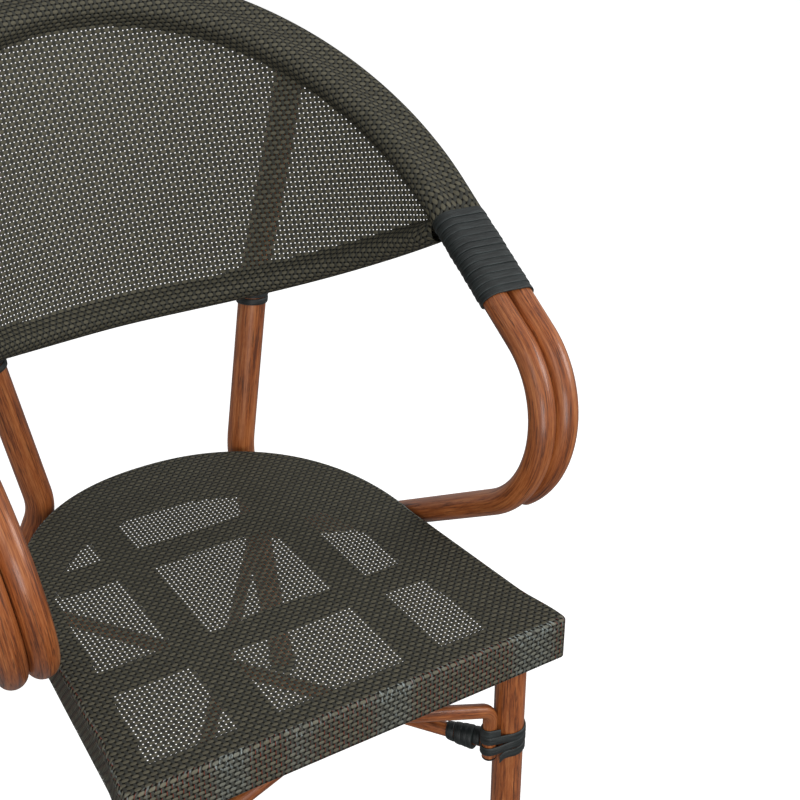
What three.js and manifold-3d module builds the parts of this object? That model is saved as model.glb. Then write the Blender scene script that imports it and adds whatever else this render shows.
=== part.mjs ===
// Bistro armchair: painted tube frame, woven mesh seat and back, strip bindings.
// Millimetres, +Z up, front towards -Y, +X to the right as seen from the front.
// Until the last lines Y = 0 is the front edge of the seat, and Z = 0 is the floor.

import * as THREE from 'three';
import { mergeVertices } from 'three/addons/utils/BufferGeometryUtils.js';
import Module from 'manifold-3d';

const wasm = await Module();
wasm.setup();

// Driving sizes of the seat
const seatHeight = 445;
const seatFrontWidth = 413.6;
const seatRearWidth = 373;
const seatDepth = 433.5;
const seatSideDepth = 215;
const seatEdgeHeight = 41;
const seatCornerRadius = 8;
const seatFoldRadius = 4;
const meshThickness = 1.1;
const bowPower = 2.2;

// The front corners stand out a little: how far, and between which distances behind the front edge
const cornerFlare = { out: 4.8, from: 10, to: 60 };

// Clearance between pieces that touch, and one overrun for every cut
const clearance = 0.3;
const overrun = 5;

// Seat frame under the mesh
const railThickness = 25;
const longBarWidth = 30;
const longBarThickness = 8;
const longBarSpacing = 155;
const crossBarWidth = 20;
const crossBarThickness = 12;
const crossBarPlaces = [149, 300];

// Tubes
const legDiameter = 28;
const hoopDiameter = 24.4;
const backRailDiameter = 22;
const braceDiameter = 13.5;

// Hoop: a level-sided U in a plane that rises to the rear
const hoopHalfWidth = 238;
const hoopArmDepth = 270;
const hoopBowLength = 281;
const hoopStartHeight = 297;
const hoopSlopeAngle = THREE.MathUtils.degToRad(31.8);
const hoopTubeGap = 0.3;

// Arm: the hoop's tubes turn down and back to the side of the seat, and the inner one on to the rear leg
const armBendRadius = 94;
const armCorner = { halfWidth: 236, fromFront: -8 };
const armSeat = { fromFront: 262, belowSeat: 33 };
const outerEndCut = 13.5;
const armKneeRun = 45;
const armKneeRadius = 60;
const armFootLow = 152;
const endCapThickness = 2.2;

// Lower rail of the back
const backRailRadius = 241;
const backRailCentre = 208;
const backRailSweep = THREE.MathUtils.degToRad(78.5);
const backRailBelowHoop = 134.5;
const backRailRise = 130;
const backRailPower = 1.15;

// Front legs stand inside the corners of the seat frame
const frontLegDepth = 33;

// Rear legs go on upward behind the back
const rearFoot = { halfWidth: 222, fromFront: 573 };
const rearLegBend = { halfWidth: 108, fromFront: 425, belowSeat: 8 };
const uprightAtRail = { halfWidth: 140.5, fromFront: 437, aboveHoop: -121 };
const uprightMiddle = { halfWidth: 169, fromFront: 437.5, aboveHoop: -12 };
const uprightTop = { halfWidth: 194, fromFront: 440, aboveHoop: 91 };
const legBendRadius = 60;

// Foot glides
const glideWall = 2;
const glideFloor = 5;
const glideHeight = 16;

// Front arch and crossed braces
const archFoot = 154;
const archBendRadius = 15;
const archShoulder = { halfWidth: 152, belowSeat: 102.5 };
const archCrownRadius = 100;
const archPlugThickness = 2;
const braceFrontLow = 158;
const braceRearLow = 143;
const braceFront = { halfWidth: 164, fromFront: 39.5 };

// Strip bindings
const strip = { width: 6.4, thickness: 1.6, pitch: 7.2 };
const armBinding = { turns: 14, start: 157 };
const legBinding = { turns: 3, low: 152, pitch: 8.9, width: 8.1 };
const braceWrap = { turns: 4, start: 21.4, pitch: 6.5, width: 5.9, swell: 1.4 };
const uprightBinding = { turns: 2, pitch: 7, width: 6.2, below: 8, swell: 0 };

// Tolerance of a place along a path, as a share of one step
const stepToleranceShare = 1e-9;

// Counts: sides of a tube, steps of its bends, and steps of a winding's loop
const tubeSides = 12;
const bendStep = THREE.MathUtils.degToRad(14);
const meshSteps = 26;
const pairArcSteps = 8;
const railSides = 10;
const arcSteps = 6;
const loopSteps = 12;

const legRadius = legDiameter / 2;
const hoopRadius = hoopDiameter / 2;
const backRailTubeRadius = backRailDiameter / 2;
const braceRadius = braceDiameter / 2;
const hoopPitch = hoopDiameter + hoopTubeGap;
const frameInset = meshThickness + clearance;
const frameTop = seatHeight - meshThickness - clearance;
const seatUnderside = seatHeight - seatEdgeHeight;

// Finishes
const finish = (color, roughness, metalness) => ({ color, roughness, metalness });
const finishes = {
  tube: finish(0x8a4526, 0.42, 0.15),
  mesh: finish(0x45423a, 0.75, 0),
  strip: finish(0x1d2124, 0.5, 0),
  frame: finish(0x2b2a26, 0.6, 0.2),
  plastic: finish(0x17181a, 0.55, 0),
};

const chair = new THREE.Group();

/** Add one named piece to the chair, with its own material. */
function piece(name, geometry, finishName) {
  const mesh = new THREE.Mesh(geometry, new THREE.MeshStandardMaterial(finishes[finishName]));
  mesh.name = name;
  chair.add(mesh);
  return mesh;
}

/** The two sides of the chair, as a sign of X and an ending for names. */
const sides = [
  { sign: 1, name: 'right' },
  { sign: -1, name: 'left' },
];

// Solids

/** Points closer than this are one point. */
const mergeTolerance = 1e-4;

/** A closed three.js geometry as a manifold solid. */
function solidOf(geometry) {
  const bare = geometry.clone();
  bare.deleteAttribute('normal');
  bare.deleteAttribute('uv');
  const merged = mergeVertices(bare, mergeTolerance);
  return new wasm.Manifold(new wasm.Mesh({
    numProp: 3,
    vertProperties: new Float32Array(merged.attributes.position.array),
    triVerts: new Uint32Array(merged.index.array),
  }));
}

/** A manifold solid as a three.js geometry. */
function geometryOf(solid) {
  const mesh = solid.getMesh();
  const geometry = new THREE.BufferGeometry();
  geometry.setAttribute('position', new THREE.BufferAttribute(new Float32Array(mesh.vertProperties), 3));
  geometry.setIndex(new THREE.BufferAttribute(new Uint32Array(mesh.triVerts), 1));
  return geometry;
}

/** The largest body of a solid, without slivers that a cut leaves. */
const mainBody = (solid) => solid.decompose().sort((a, b) => b.volume() - a.volume())[0];

/** A closed solid through rings of equal point count, with a fan of triangles over each end ring. */
function loft(rings) {
  const count = rings[0].length;
  const points = rings.flat();
  const faces = [];
  for (let r = 0; r + 1 < rings.length; r += 1) {
    for (let i = 0; i < count; i += 1) {
      const a = r * count + i;
      const b = r * count + ((i + 1) % count);
      faces.push(a, b, b + count, a, b + count, a + count);
    }
  }
  const last = (rings.length - 1) * count;
  for (let i = 1; i + 1 < count; i += 1) {
    faces.push(0, i + 1, i, last, last + i, last + i + 1);
  }
  const geometry = new THREE.BufferGeometry().setFromPoints(points);
  geometry.setIndex(faces);
  return outwardFacing(geometry);
}

/** The same solid with its faces turned outward. */
function outwardFacing(geometry) {
  const points = geometry.attributes.position;
  const index = geometry.index.array;
  const corner = (i) => new THREE.Vector3().fromBufferAttribute(points, index[i]);
  let volume = 0;
  for (let i = 0; i < index.length; i += 3) volume += corner(i).dot(corner(i + 1).cross(corner(i + 2)));
  if (volume > 0) return geometry;
  const turned = Array.from(index);
  for (let i = 0; i < turned.length; i += 3) [turned[i], turned[i + 1]] = [turned[i + 1], turned[i]];
  geometry.setIndex(turned);
  return geometry;
}

/** A path through stations, so that an extrusion has one ring at each of them. */
class StationPath extends THREE.Curve {
  constructor(stations) {
    super();
    this.stations = stations;
  }

  getPoint(t, target = new THREE.Vector3()) {
    const place = t * (this.stations.length - 1);
    const low = Math.min(Math.floor(place + stepToleranceShare), this.stations.length - 2);
    return target.lerpVectors(this.stations[low], this.stations[low + 1], place - low);
  }

  getTangent(t, target = new THREE.Vector3()) {
    const middle = Math.round(t * (this.stations.length - 1));
    const before = this.stations[Math.max(middle - 1, 0)];
    const here = this.stations[middle];
    const after = this.stations[Math.min(middle + 1, this.stations.length - 1)];
    target.set(0, 0, 0);
    if (middle > 0) target.add(here.clone().sub(before).normalize());
    if (middle < this.stations.length - 1) target.add(after.clone().sub(here).normalize());
    return target.normalize();
  }

  getPointAt(u, target) {
    return this.getPoint(u, target);
  }

  getTangentAt(u, target) {
    return this.getTangent(u, target);
  }
}

/** Radius of a faceted room round a round piece, so that its flats clear the piece. */
const roomRadius = (radius, sideCount) => (radius + clearance) / Math.cos(Math.PI / sideCount);
const legRoomRadius = roomRadius(legRadius, tubeSides);

/** A round solid tube along stations. */
function tube(stations, radius, sideCount = tubeSides) {
  const section = new THREE.Shape();
  for (let i = 0; i < sideCount; i += 1) {
    const angle = ((i + 0.5) / sideCount) * Math.PI * 2;
    const point = [radius * Math.cos(angle), radius * Math.sin(angle)];
    if (i === 0) section.moveTo(...point);
    else section.lineTo(...point);
  }
  section.closePath();
  return new THREE.ExtrudeGeometry(section, {
    steps: stations.length - 1,
    extrudePath: new StationPath(stations),
    bevelEnabled: false,
  });
}

/** Stations along corners, with an arc of the given radius at each inner corner. */
function rounded(corners, radius, step = bendStep) {
  const stations = [corners[0].clone()];
  for (let i = 1; i + 1 < corners.length; i += 1) {
    const back = corners[i - 1].clone().sub(corners[i]).normalize();
    const on = corners[i + 1].clone().sub(corners[i]).normalize();
    const half = back.angleTo(on) / 2;
    const reach = radius / Math.tan(half);
    const inward = back.clone().add(on).normalize();
    const centre = corners[i].clone().addScaledVector(inward, radius / Math.sin(half));
    const first = corners[i].clone().addScaledVector(back, reach).sub(centre);
    const axis = back.clone().cross(on).negate().normalize();
    const sweep = Math.PI - 2 * half;
    const steps = Math.max(2, Math.round(sweep / step));
    for (let k = 0; k <= steps; k += 1) {
      stations.push(first.clone().applyAxisAngle(axis, (sweep * k) / steps).add(centre));
    }
  }
  stations.push(corners[corners.length - 1].clone());
  return stations;
}

/** The same stations, shorter at their first end by the given length. */
function shortened(stations, length) {
  let left = length;
  let first = 0;
  while (stations[first].distanceTo(stations[first + 1]) <= left) {
    left -= stations[first].distanceTo(stations[first + 1]);
    first += 1;
  }
  const start = stations[first].clone();
  start.addScaledVector(stations[first + 1].clone().sub(start).normalize(), left);
  return [start, ...stations.slice(first + 1)];
}

/** Stations at the other side of the chair. */
const mirrored = (stations) => stations.map((point) => new THREE.Vector3(-point.x, point.y, point.z));

/**
 * A place on the chair from its size record: half width, distance from the front, and height below
 * the seat or above the start of the hoop.
 */
function place({ halfWidth, fromFront, belowSeat, aboveHoop }, sign = 1) {
  const hung = aboveHoop === undefined;
  const height = hung ? seatHeight - belowSeat : seatHeight + hoopStartHeight + aboveHoop;
  return new THREE.Vector3(sign * halfWidth, fromFront, height);
}

// Seat outline: straight front, sides that draw in, and a full round rear

/** Half width of the seat at a distance behind its front edge, inside the given inset. */
function seatHalfWidth(fromFront, inset = 0) {
  const taper = (seatFrontWidth - seatRearWidth) / 2 - cornerFlare.out;
  if (fromFront <= seatSideDepth) {
    const flare = cornerFlare.out * THREE.MathUtils.smoothstep(fromFront, cornerFlare.from, cornerFlare.to);
    return seatFrontWidth / 2 - inset - flare - (taper * fromFront) / seatSideDepth;
  }
  const share = (fromFront - seatSideDepth) / (seatDepth - seatSideDepth - inset);
  return (seatRearWidth / 2 - inset) * (1 - share ** bowPower) ** (1 / bowPower);
}

/** Points round the seat, seen from above, inside the given inset. */
function seatOutline(inset, cornerRadius = seatCornerRadius) {
  const right = [];
  const cornerSteps = 3;
  const sideSteps = 6;
  const bowSteps = 16;
  const front = inset;
  for (let k = 0; k <= cornerSteps; k += 1) {
    const angle = (k / cornerSteps) * (Math.PI / 2);
    const y = front + cornerRadius * (1 - Math.cos(angle));
    const x = seatHalfWidth(y, inset) - cornerRadius * (1 - Math.sin(angle));
    right.push(new THREE.Vector2(x, y));
  }
  for (let k = 1; k < sideSteps; k += 1) {
    const y = THREE.MathUtils.lerp(cornerFlare.from, cornerFlare.to, k / (sideSteps - 1));
    if (y > front + cornerRadius) right.push(new THREE.Vector2(seatHalfWidth(y, inset), y));
  }
  for (let k = 0; k < bowSteps; k += 1) {
    const angle = (k / bowSteps) * (Math.PI / 2);
    const x = (seatRearWidth / 2 - inset) * Math.cos(angle) ** (2 / bowPower);
    const y = seatSideDepth + (seatDepth - seatSideDepth - inset) * Math.sin(angle) ** (2 / bowPower);
    right.push(new THREE.Vector2(x, y));
  }
  const rear = new THREE.Vector2(0, seatDepth - inset);
  const left = right.map((point) => new THREE.Vector2(-point.x, point.y)).reverse();
  return [...right, rear, ...left];
}

/** One ring of the seat at a height. */
const seatRing = (inset, height, radius) => seatOutline(inset, radius)
  .map((point) => new THREE.Vector3(point.x, point.y, height));

/** Seat mesh: a sheet with a rounded fold and a deep edge all round, open below. */
function seatMesh() {
  const fold = seatFoldRadius * (1 - Math.SQRT1_2);
  const inner = seatCornerRadius - meshThickness;
  return loft([
    seatRing(meshThickness, seatHeight - meshThickness, inner),
    seatRing(meshThickness, seatUnderside, inner),
    seatRing(0, seatUnderside, seatCornerRadius),
    seatRing(0, seatHeight - seatFoldRadius, seatCornerRadius),
    seatRing(fold, seatHeight - fold, seatCornerRadius),
    seatRing(seatFoldRadius, seatHeight, seatCornerRadius),
  ]);
}

/** Bow rail: the sides and the round rear of the seat frame. */
function bowRail() {
  const start = frontRailBack + clearance;
  const outer = seatOutline(frameInset).filter((point) => point.y > start);
  const inner = seatOutline(frameInset + railThickness).filter((point) => point.y > start);
  const ends = (inset) => seatHalfWidth(start, inset);
  const shape = new THREE.Shape([
    new THREE.Vector2(ends(frameInset), start),
    ...outer,
    new THREE.Vector2(-ends(frameInset), start),
    new THREE.Vector2(-ends(frameInset + railThickness), start),
    ...inner.reverse(),
    new THREE.Vector2(ends(frameInset + railThickness), start),
  ]);
  const depth = frameTop - seatUnderside;
  return new THREE.ExtrudeGeometry(shape, { depth, bevelEnabled: false }).translate(0, 0, seatUnderside);
}

/** Front rail: a straight box between the front corners. */
const frontRailBack = frameInset + railThickness;
function frontRail() {
  const half = seatHalfWidth(frontRailBack, frameInset);
  const cut = seatCornerRadius - meshThickness;
  const shape = new THREE.Shape([
    new THREE.Vector2(half - cut, frameInset),
    new THREE.Vector2(half, frameInset + cut),
    new THREE.Vector2(half, frontRailBack),
    new THREE.Vector2(-half, frontRailBack),
    new THREE.Vector2(-half, frameInset + cut),
    new THREE.Vector2(cut - half, frameInset),
  ]);
  const depth = frameTop - seatUnderside;
  return new THREE.ExtrudeGeometry(shape, { depth, bevelEnabled: false }).translate(0, 0, seatUnderside);
}

/** How far back the inner face of the bow rail is at a distance from the middle. */
function bowInnerDepth(fromMiddle) {
  const inset = frameInset + railThickness;
  const share = fromMiddle / (seatRearWidth / 2 - inset);
  return seatSideDepth + (seatDepth - seatSideDepth - inset) * (1 - share ** bowPower) ** (1 / bowPower);
}

/** A flat bar from the front rail to the bow rail. */
function longBar(sign) {
  const middle = (sign * longBarSpacing) / 2;
  const front = frontRailBack + clearance;
  const rear = bowInnerDepth(longBarSpacing / 2 + longBarWidth / 2) - clearance;
  const bar = new THREE.BoxGeometry(longBarWidth, rear - front, longBarThickness);
  return bar.translate(middle, (rear + front) / 2, frameTop - longBarThickness / 2);
}

/** A flat bar from side to side, under the long bars. */
function crossBar(fromFront) {
  const reach = fromFront + crossBarWidth / 2;
  const half = seatHalfWidth(reach, frameInset + railThickness) - clearance;
  const bar = new THREE.BoxGeometry(2 * half, crossBarWidth, crossBarThickness);
  const height = frameTop - longBarThickness - clearance - crossBarThickness / 2;
  return bar.translate(0, fromFront, height);
}

piece('seat_mesh', seatMesh(), 'mesh');
piece('seat_front_rail', frontRail(), 'frame');
piece('seat_bow_rail', bowRail(), 'frame');
for (const side of sides) piece(`seat_long_bar_${side.name}`, longBar(side.sign), 'frame');
crossBarPlaces.forEach((fromFront, index) => {
  piece(`seat_cross_bar_${['front', 'rear'][index]}`, crossBar(fromFront), 'frame');
});

// Hoops and arms

const hoopTilt = { run: Math.cos(hoopSlopeAngle), rise: Math.sin(hoopSlopeAngle) };

/** A point of the hoop's plane: across the chair, and up the slope from where the bow starts. */
const onHoopPlane = (across, along) => new THREE.Vector3(
  across,
  hoopArmDepth + along * hoopTilt.run,
  seatHeight + hoopStartHeight + along * hoopTilt.rise,
);

/** A point of the hoop's bow at an angle from the right side, moved outward by an offset. */
function bowPoint(angle, offset) {
  const normal = new THREE.Vector2(
    Math.cos(angle) / hoopHalfWidth,
    Math.sin(angle) / hoopBowLength,
  ).normalize();
  return onHoopPlane(
    hoopHalfWidth * Math.cos(angle) + offset * normal.x,
    hoopBowLength * Math.sin(angle) + offset * normal.y,
  );
}

/** Length of a quarter of the hoop's bow, measured on its inner tube. */
function bowQuarterLength() {
  let length = 0;
  const steps = 64;
  for (let k = 0; k < steps; k += 1) {
    const from = bowPoint((k / steps) * (Math.PI / 2), 0);
    length += from.distanceTo(bowPoint(((k + 1) / steps) * (Math.PI / 2), 0));
  }
  return length;
}

const bowQuarter = bowQuarterLength();
const armSlope = (hoopArmDepth - armCorner.fromFront) / hoopTilt.run;
const bindingRun = (armBinding.turns - 1) * strip.pitch + strip.width;
const meshFrontEdge = armBinding.start + (bindingRun + 2 * clearance) * hoopTilt.run;
const meshArm = (hoopArmDepth - meshFrontEdge) / hoopTilt.run;

/** Centres of both hoop tubes on the straight arm, down the slope from where the bow starts. */
function armPair(down, sign = 1) {
  const half = THREE.MathUtils.lerp(hoopHalfWidth, armCorner.halfWidth, down / armSlope);
  return [onHoopPlane(sign * half, -down), onHoopPlane(sign * (half + hoopPitch), -down)];
}

/** Centres of both hoop tubes at a share from -1 to 1 along the part that the mesh covers. */
function hoopPair(share) {
  const sign = Math.sign(share) || 1;
  const along = Math.abs(share) * (bowQuarter + meshArm);
  if (along > bowQuarter) return armPair(along - bowQuarter, sign);
  const angle = (Math.PI / 2) * (1 - along / bowQuarter);
  return [bowPoint(angle, 0), bowPoint(angle, hoopPitch)].map((point) => point.setX(point.x * sign));
}

const meshShares = Array.from({ length: meshSteps + 1 }, (_, k) => 1 - (2 * k) / meshSteps);

/** The point on a rear leg's middle line at a distance below the seat, from its foot up to its bend. */
function onRearLeg(belowSeat, sign) {
  const foot = new THREE.Vector3(sign * rearFoot.halfWidth, rearFoot.fromFront, glideFloor + clearance);
  const bend = place(rearLegBend, sign);
  return foot.lerp(bend, (seatHeight - belowSeat - foot.z) / (bend.z - foot.z));
}

/** The inner hoop tube's run under the seat, from a rear leg's middle line up to the side of the seat. */
function underSeatRun(seatEnd, corner) {
  const knee = seatEnd.clone().sub(corner).setLength(armKneeRun).add(seatEnd);
  return rounded([onRearLeg(armFootLow, 1), knee, seatEnd], armKneeRadius).slice(0, -1);
}

/** Stations of one hoop tube, arm end to arm end: 0 is the inner tube and 1 the outer one. */
function hoopStations(which) {
  const offset = which * hoopPitch;
  const seatEnd = place({
    halfWidth: seatHalfWidth(armSeat.fromFront) + hoopRadius + clearance + offset,
    fromFront: armSeat.fromFront,
    belowSeat: armSeat.belowSeat,
  });
  const bow = meshShares.map((share) => hoopPair(share)[which]);
  const corner = armPair(armSlope)[which];
  const arm = rounded([seatEnd, corner, bow[0]], armBendRadius);
  const cut = which ? shortened(arm.slice(1), outerEndCut) : [...underSeatRun(seatEnd, corner), ...arm];
  return [...cut, ...bow.slice(1, -1), ...mirrored(cut).reverse()];
}

const innerHoop = hoopStations(0);
const outerHoop = hoopStations(1);

/** The rear legs below their bend with room round them, so that the inner hoop ends against them. */
const hoopStops = sides
  .map(({ sign }) => tube([rearLegStations(sign)[0], place(rearLegBend, sign)], legRoomRadius))
  .map(solidOf).reduce((all, next) => all.add(next));
const openHoop = solidOf(tube(innerHoop, hoopRadius)).subtract(hoopStops);
piece('hoop_inner', geometryOf(openHoop), 'tube');
piece('hoop_outer', tube(outerHoop, hoopRadius), 'tube');

/** End cap over the free end of the outer hoop. */
function endCap(sign) {
  const stations = sign > 0 ? outerHoop : mirrored(outerHoop);
  const outward = stations[0].clone().sub(stations[1]).normalize();
  const start = stations[0].clone().addScaledVector(outward, clearance);
  return tube([start, start.clone().addScaledVector(outward, endCapThickness)], hoopRadius);
}
for (const side of sides) piece(`arm_end_cap_${side.name}`, endCap(side.sign), 'plastic');

// Lower rail of the back

/** A point of the lower rail at a share of its sweep, from -1 at the left to 1 at the right. */
function backRailPoint(share) {
  const angle = share * backRailSweep;
  const rise = backRailRise * (1 - Math.cos(angle)) ** backRailPower;
  return new THREE.Vector3(
    backRailRadius * Math.sin(angle),
    backRailCentre + backRailRadius * Math.cos(angle),
    seatHeight + hoopStartHeight - backRailBelowHoop + rise,
  );
}

const backRail = meshShares.map(backRailPoint);

// Back mesh: wrapped round both hoop tubes and the lower rail, with the panel between

const hoopPlaneNormal = new THREE.Vector3(0, -hoopTilt.rise, hoopTilt.run);

/** A ring round the two hoop tubes at a distance from their centres. */
function pairRing([inner, outer], radius) {
  const across = outer.clone().sub(inner).normalize();
  const ring = [];
  for (const [centre, turn] of [[outer, -Math.PI / 2], [inner, Math.PI / 2]]) {
    for (let k = 0; k <= pairArcSteps; k += 1) {
      const angle = turn + (k / pairArcSteps) * Math.PI;
      ring.push(centre.clone()
        .addScaledVector(across, radius * Math.cos(angle))
        .addScaledVector(hoopPlaneNormal, radius * Math.sin(angle)));
    }
  }
  return ring;
}

/** Share of the sweep over which the panel's direction is measured. */
const panelDirectionShare = 0.02;

/** Slab of mesh between the inner hoop tube and the lower rail. */
function panelRing(share) {
  const top = hoopPair(share)[0];
  const low = backRailPoint(share);
  const on = hoopPair(Math.min(share + panelDirectionShare, 1))[0];
  const along = on.sub(hoopPair(Math.max(share - panelDirectionShare, -1))[0]);
  const face = along.cross(top.clone().sub(low)).normalize().multiplyScalar(meshThickness / 2);
  return [
    low.clone().add(face), top.clone().add(face),
    top.clone().sub(face), low.clone().sub(face),
  ];
}

/** The hoop tubes as one solid with room round them, longer than the mesh at both ends. */
function hoopRoom(radius) {
  const past = 1 + overrun / (bowQuarter + meshArm);
  const shares = [past, ...meshShares.slice(1, -1), -past];
  return solidOf(loft(shares.map((share) => pairRing(hoopPair(share), radius))));
}

/** Stations lengthened at both ends. */
function lengthened(stations, length) {
  const ends = [stations, [...stations].reverse()].map(([end, next]) => (
    end.clone().addScaledVector(end.clone().sub(next).normalize(), length)
  ));
  return [ends[0], ...stations.slice(1, -1), ends[1]];
}

const hoopRoomRadius = roomRadius(hoopRadius, 2 * pairArcSteps);
const sleeveRadius = hoopRoomRadius + meshThickness;
const railRoomRadius = roomRadius(backRailTubeRadius, railSides);

/** The mesh of the back, cut free of the tubes inside it. */
function backMesh() {
  const sleeve = solidOf(loft(meshShares.map((share) => pairRing(hoopPair(share), sleeveRadius))));
  const railSleeve = solidOf(tube(backRail, railRoomRadius + meshThickness, railSides));
  const panel = solidOf(loft(meshShares.map(panelRing)));
  const railRoom = solidOf(tube(lengthened(backRail, overrun), railRoomRadius, railSides));
  const whole = sleeve.add(railSleeve).add(panel);
  return geometryOf(mainBody(whole.subtract(hoopRoom(hoopRoomRadius)).subtract(railRoom)));
}
piece('back_mesh', backMesh(), 'mesh');

const lowerRail = solidOf(tube(backRail, backRailTubeRadius, railSides));
piece('back_lower_rail', geometryOf(lowerRail.subtract(hoopRoom(hoopRoomRadius))), 'tube');

// Legs

const frontLegPlace = {
  halfWidth: seatHalfWidth(frontLegDepth + legRadius, frameInset + railThickness) - clearance - legRadius,
  fromFront: frontLegDepth,
};

/** Stations of a front leg, from the glide up to just under the seat's rails. */
function frontLegStations(sign) {
  const x = sign * frontLegPlace.halfWidth;
  const y = frontLegPlace.fromFront;
  return [
    new THREE.Vector3(x, y, glideFloor + clearance),
    new THREE.Vector3(x, y, seatUnderside - clearance),
  ];
}

/** Stations of a rear leg and upright, from the glide up into the hoop. */
function rearLegStations(sign) {
  const foot = new THREE.Vector3(sign * rearFoot.halfWidth, rearFoot.fromFront, glideFloor + clearance);
  const bend = place(rearLegBend, sign);
  const axis = bend.clone().sub(foot).normalize();
  // The leg slants, so its end stands higher by the reach of its lower rim
  foot.addScaledVector(axis, legRoomRadius * Math.tan(Math.acos(axis.z)));
  const upright = [uprightAtRail, uprightMiddle, uprightTop].map((at) => place(at, sign));
  return rounded([foot, bend, ...upright], legBendRadius);
}

/** A glide: a cup round the foot of a leg, cut flat at the floor. */
function glide(foot, above) {
  const axis = above.clone().sub(foot).normalize();
  const outer = legRoomRadius + glideWall;
  const slant = Math.acos(axis.z);
  const below = foot.clone().addScaledVector(axis, -(foot.z / axis.z + outer * Math.tan(slant) + overrun));
  const top = foot.clone().addScaledVector(axis, glideHeight - glideFloor);
  const body = solidOf(tube([below, top], outer));
  const high = foot.clone().addScaledVector(axis, glideHeight + overrun);
  const room = solidOf(tube([foot.clone().addScaledVector(axis, -clearance), high], legRoomRadius));
  const size = 4 * outer;
  const floor = new THREE.BoxGeometry(size, size, size).translate(foot.x, foot.y, -size / 2);
  return body.subtract(room).subtract(solidOf(floor));
}

const hoopBarrier = hoopRoom(roomRadius(sleeveRadius, 2 * pairArcSteps));
for (const side of sides) {
  const front = frontLegStations(side.sign);
  const rear = rearLegStations(side.sign);
  piece(`front_leg_${side.name}`, tube(front, legRadius, 16), 'tube');
  const upright = solidOf(tube(rear, legRadius)).subtract(hoopBarrier);
  piece(`rear_leg_${side.name}`, geometryOf(upright), 'tube');
  piece(`front_glide_${side.name}`, geometryOf(glide(front[0], front[1])), 'plastic');
  piece(`rear_glide_${side.name}`, geometryOf(glide(rear[0], rear[1])), 'plastic');
}

// Front arch: runs up beside each front leg and over to the front rail

const archHalfWidth = frontLegPlace.halfWidth - legRadius - clearance - braceRadius;

function archStations() {
  const y = frontLegPlace.fromFront;
  const at = (x, belowSeat) => new THREE.Vector3(x, y, seatHeight - belowSeat);
  const crownTop = seatEdgeHeight + clearance + braceRadius;
  const rise = archShoulder.belowSeat - crownTop;
  const shoulder = at(archHalfWidth, archShoulder.belowSeat);
  const foot = at(archHalfWidth, archFoot);
  const slope = Math.atan2(rise, archHalfWidth);
  const crown = at(0, crownTop - archCrownRadius * (1 / Math.cos(slope) - 1));
  const right = rounded([foot, shoulder, crown], archBendRadius).slice(0, -1);
  const farShoulder = at(-archHalfWidth, archShoulder.belowSeat);
  const top = rounded([shoulder, crown, farShoulder], archCrownRadius, bendStep / 2).slice(1, -1);
  return [...right, ...top, ...mirrored(right).reverse()];
}

const arch = archStations();
piece('front_arch', tube(arch, braceRadius), 'tube');
for (const side of sides) {
  const end = side.sign > 0 ? arch[0] : mirrored(arch)[0];
  const top = end.clone().setZ(end.z - clearance);
  const low = end.clone().setZ(top.z - archPlugThickness);
  piece(`arch_plug_${side.name}`, tube([low, top], braceRadius), 'plastic');
}

// Crossed braces, one above the other where they cross

/** Ends of a brace, from its front leg on one side to the rear leg on the other. */
function braceLine(sign) {
  const lift = sign * (braceRadius + clearance / 2);
  return [
    new THREE.Vector3(sign * braceFront.halfWidth, braceFront.fromFront, seatHeight - braceFrontLow + lift),
    onRearLeg(braceRearLow - lift, -sign),
  ];
}

/** One taut turn round two round cores: the first at the middle, the second on the side of -X. */
function roundTwo(first, second, spacing) {
  const lean = Math.asin((first - second) / spacing);
  const half = [Math.PI / 2 + lean, Math.PI / 2 - lean];
  const loop = [];
  [first, second].forEach((radius, index) => {
    const reach = (radius + clearance) / Math.cos(half[index] / arcSteps);
    for (let k = 0; k <= arcSteps; k += 1) {
      const angle = index * Math.PI - half[index] + (2 * half[index] * k) / arcSteps;
      const out = new THREE.Vector2(Math.cos(angle), Math.sin(angle));
      const at = out.clone().multiplyScalar(reach);
      at.x -= index * spacing;
      loop.push({ at, out });
    }
  });
  let length = 0;
  const shares = loop.map(({ at }, k) => {
    if (k > 0) length += at.distanceTo(loop[k - 1].at);
    return length;
  });
  length += loop[0].at.distanceTo(loop[loop.length - 1].at);
  return loop.map((entry, k) => ({ ...entry, share: shares[k] / length }));
}

const legPairSpacing = frontLegPlace.halfWidth - archHalfWidth;

/** Room round a front leg, the arch's end and the binding that holds them together. */
function legPairRoom(sign) {
  const loop = roundTwo(legRadius, braceRadius, legPairSpacing);
  const grow = strip.thickness + clearance;
  const ring = (belowSeat) => loop.map(({ at, out }) => new THREE.Vector3(
    sign * (frontLegPlace.halfWidth + at.x + grow * out.x),
    frontLegPlace.fromFront + at.y + grow * out.y,
    seatHeight - belowSeat,
  ));
  const low = braceFrontLow + 4 * braceRadius;
  return loft([ring(low), ring(archShoulder.belowSeat)]);
}

/** The legs, the bound ends of the arch and the hoop's ends with room round them, where a brace ends. */
const braceStops = [
  ...sides.map(({ sign }) => legPairRoom(sign)),
  ...sides.map(({ sign }) => tube(rearLegStations(sign), legRoomRadius)),
  tube(innerHoop, roomRadius(hoopRadius, tubeSides)),
].map(solidOf).reduce((all, next) => all.add(next));

for (const side of sides) {
  const brace = solidOf(tube(braceLine(side.sign), braceRadius)).subtract(braceStops);
  piece(`cross_brace_${side.name}`, geometryOf(mainBody(brace)), 'tube');
}

// Strip bindings, each one unbroken strip

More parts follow.
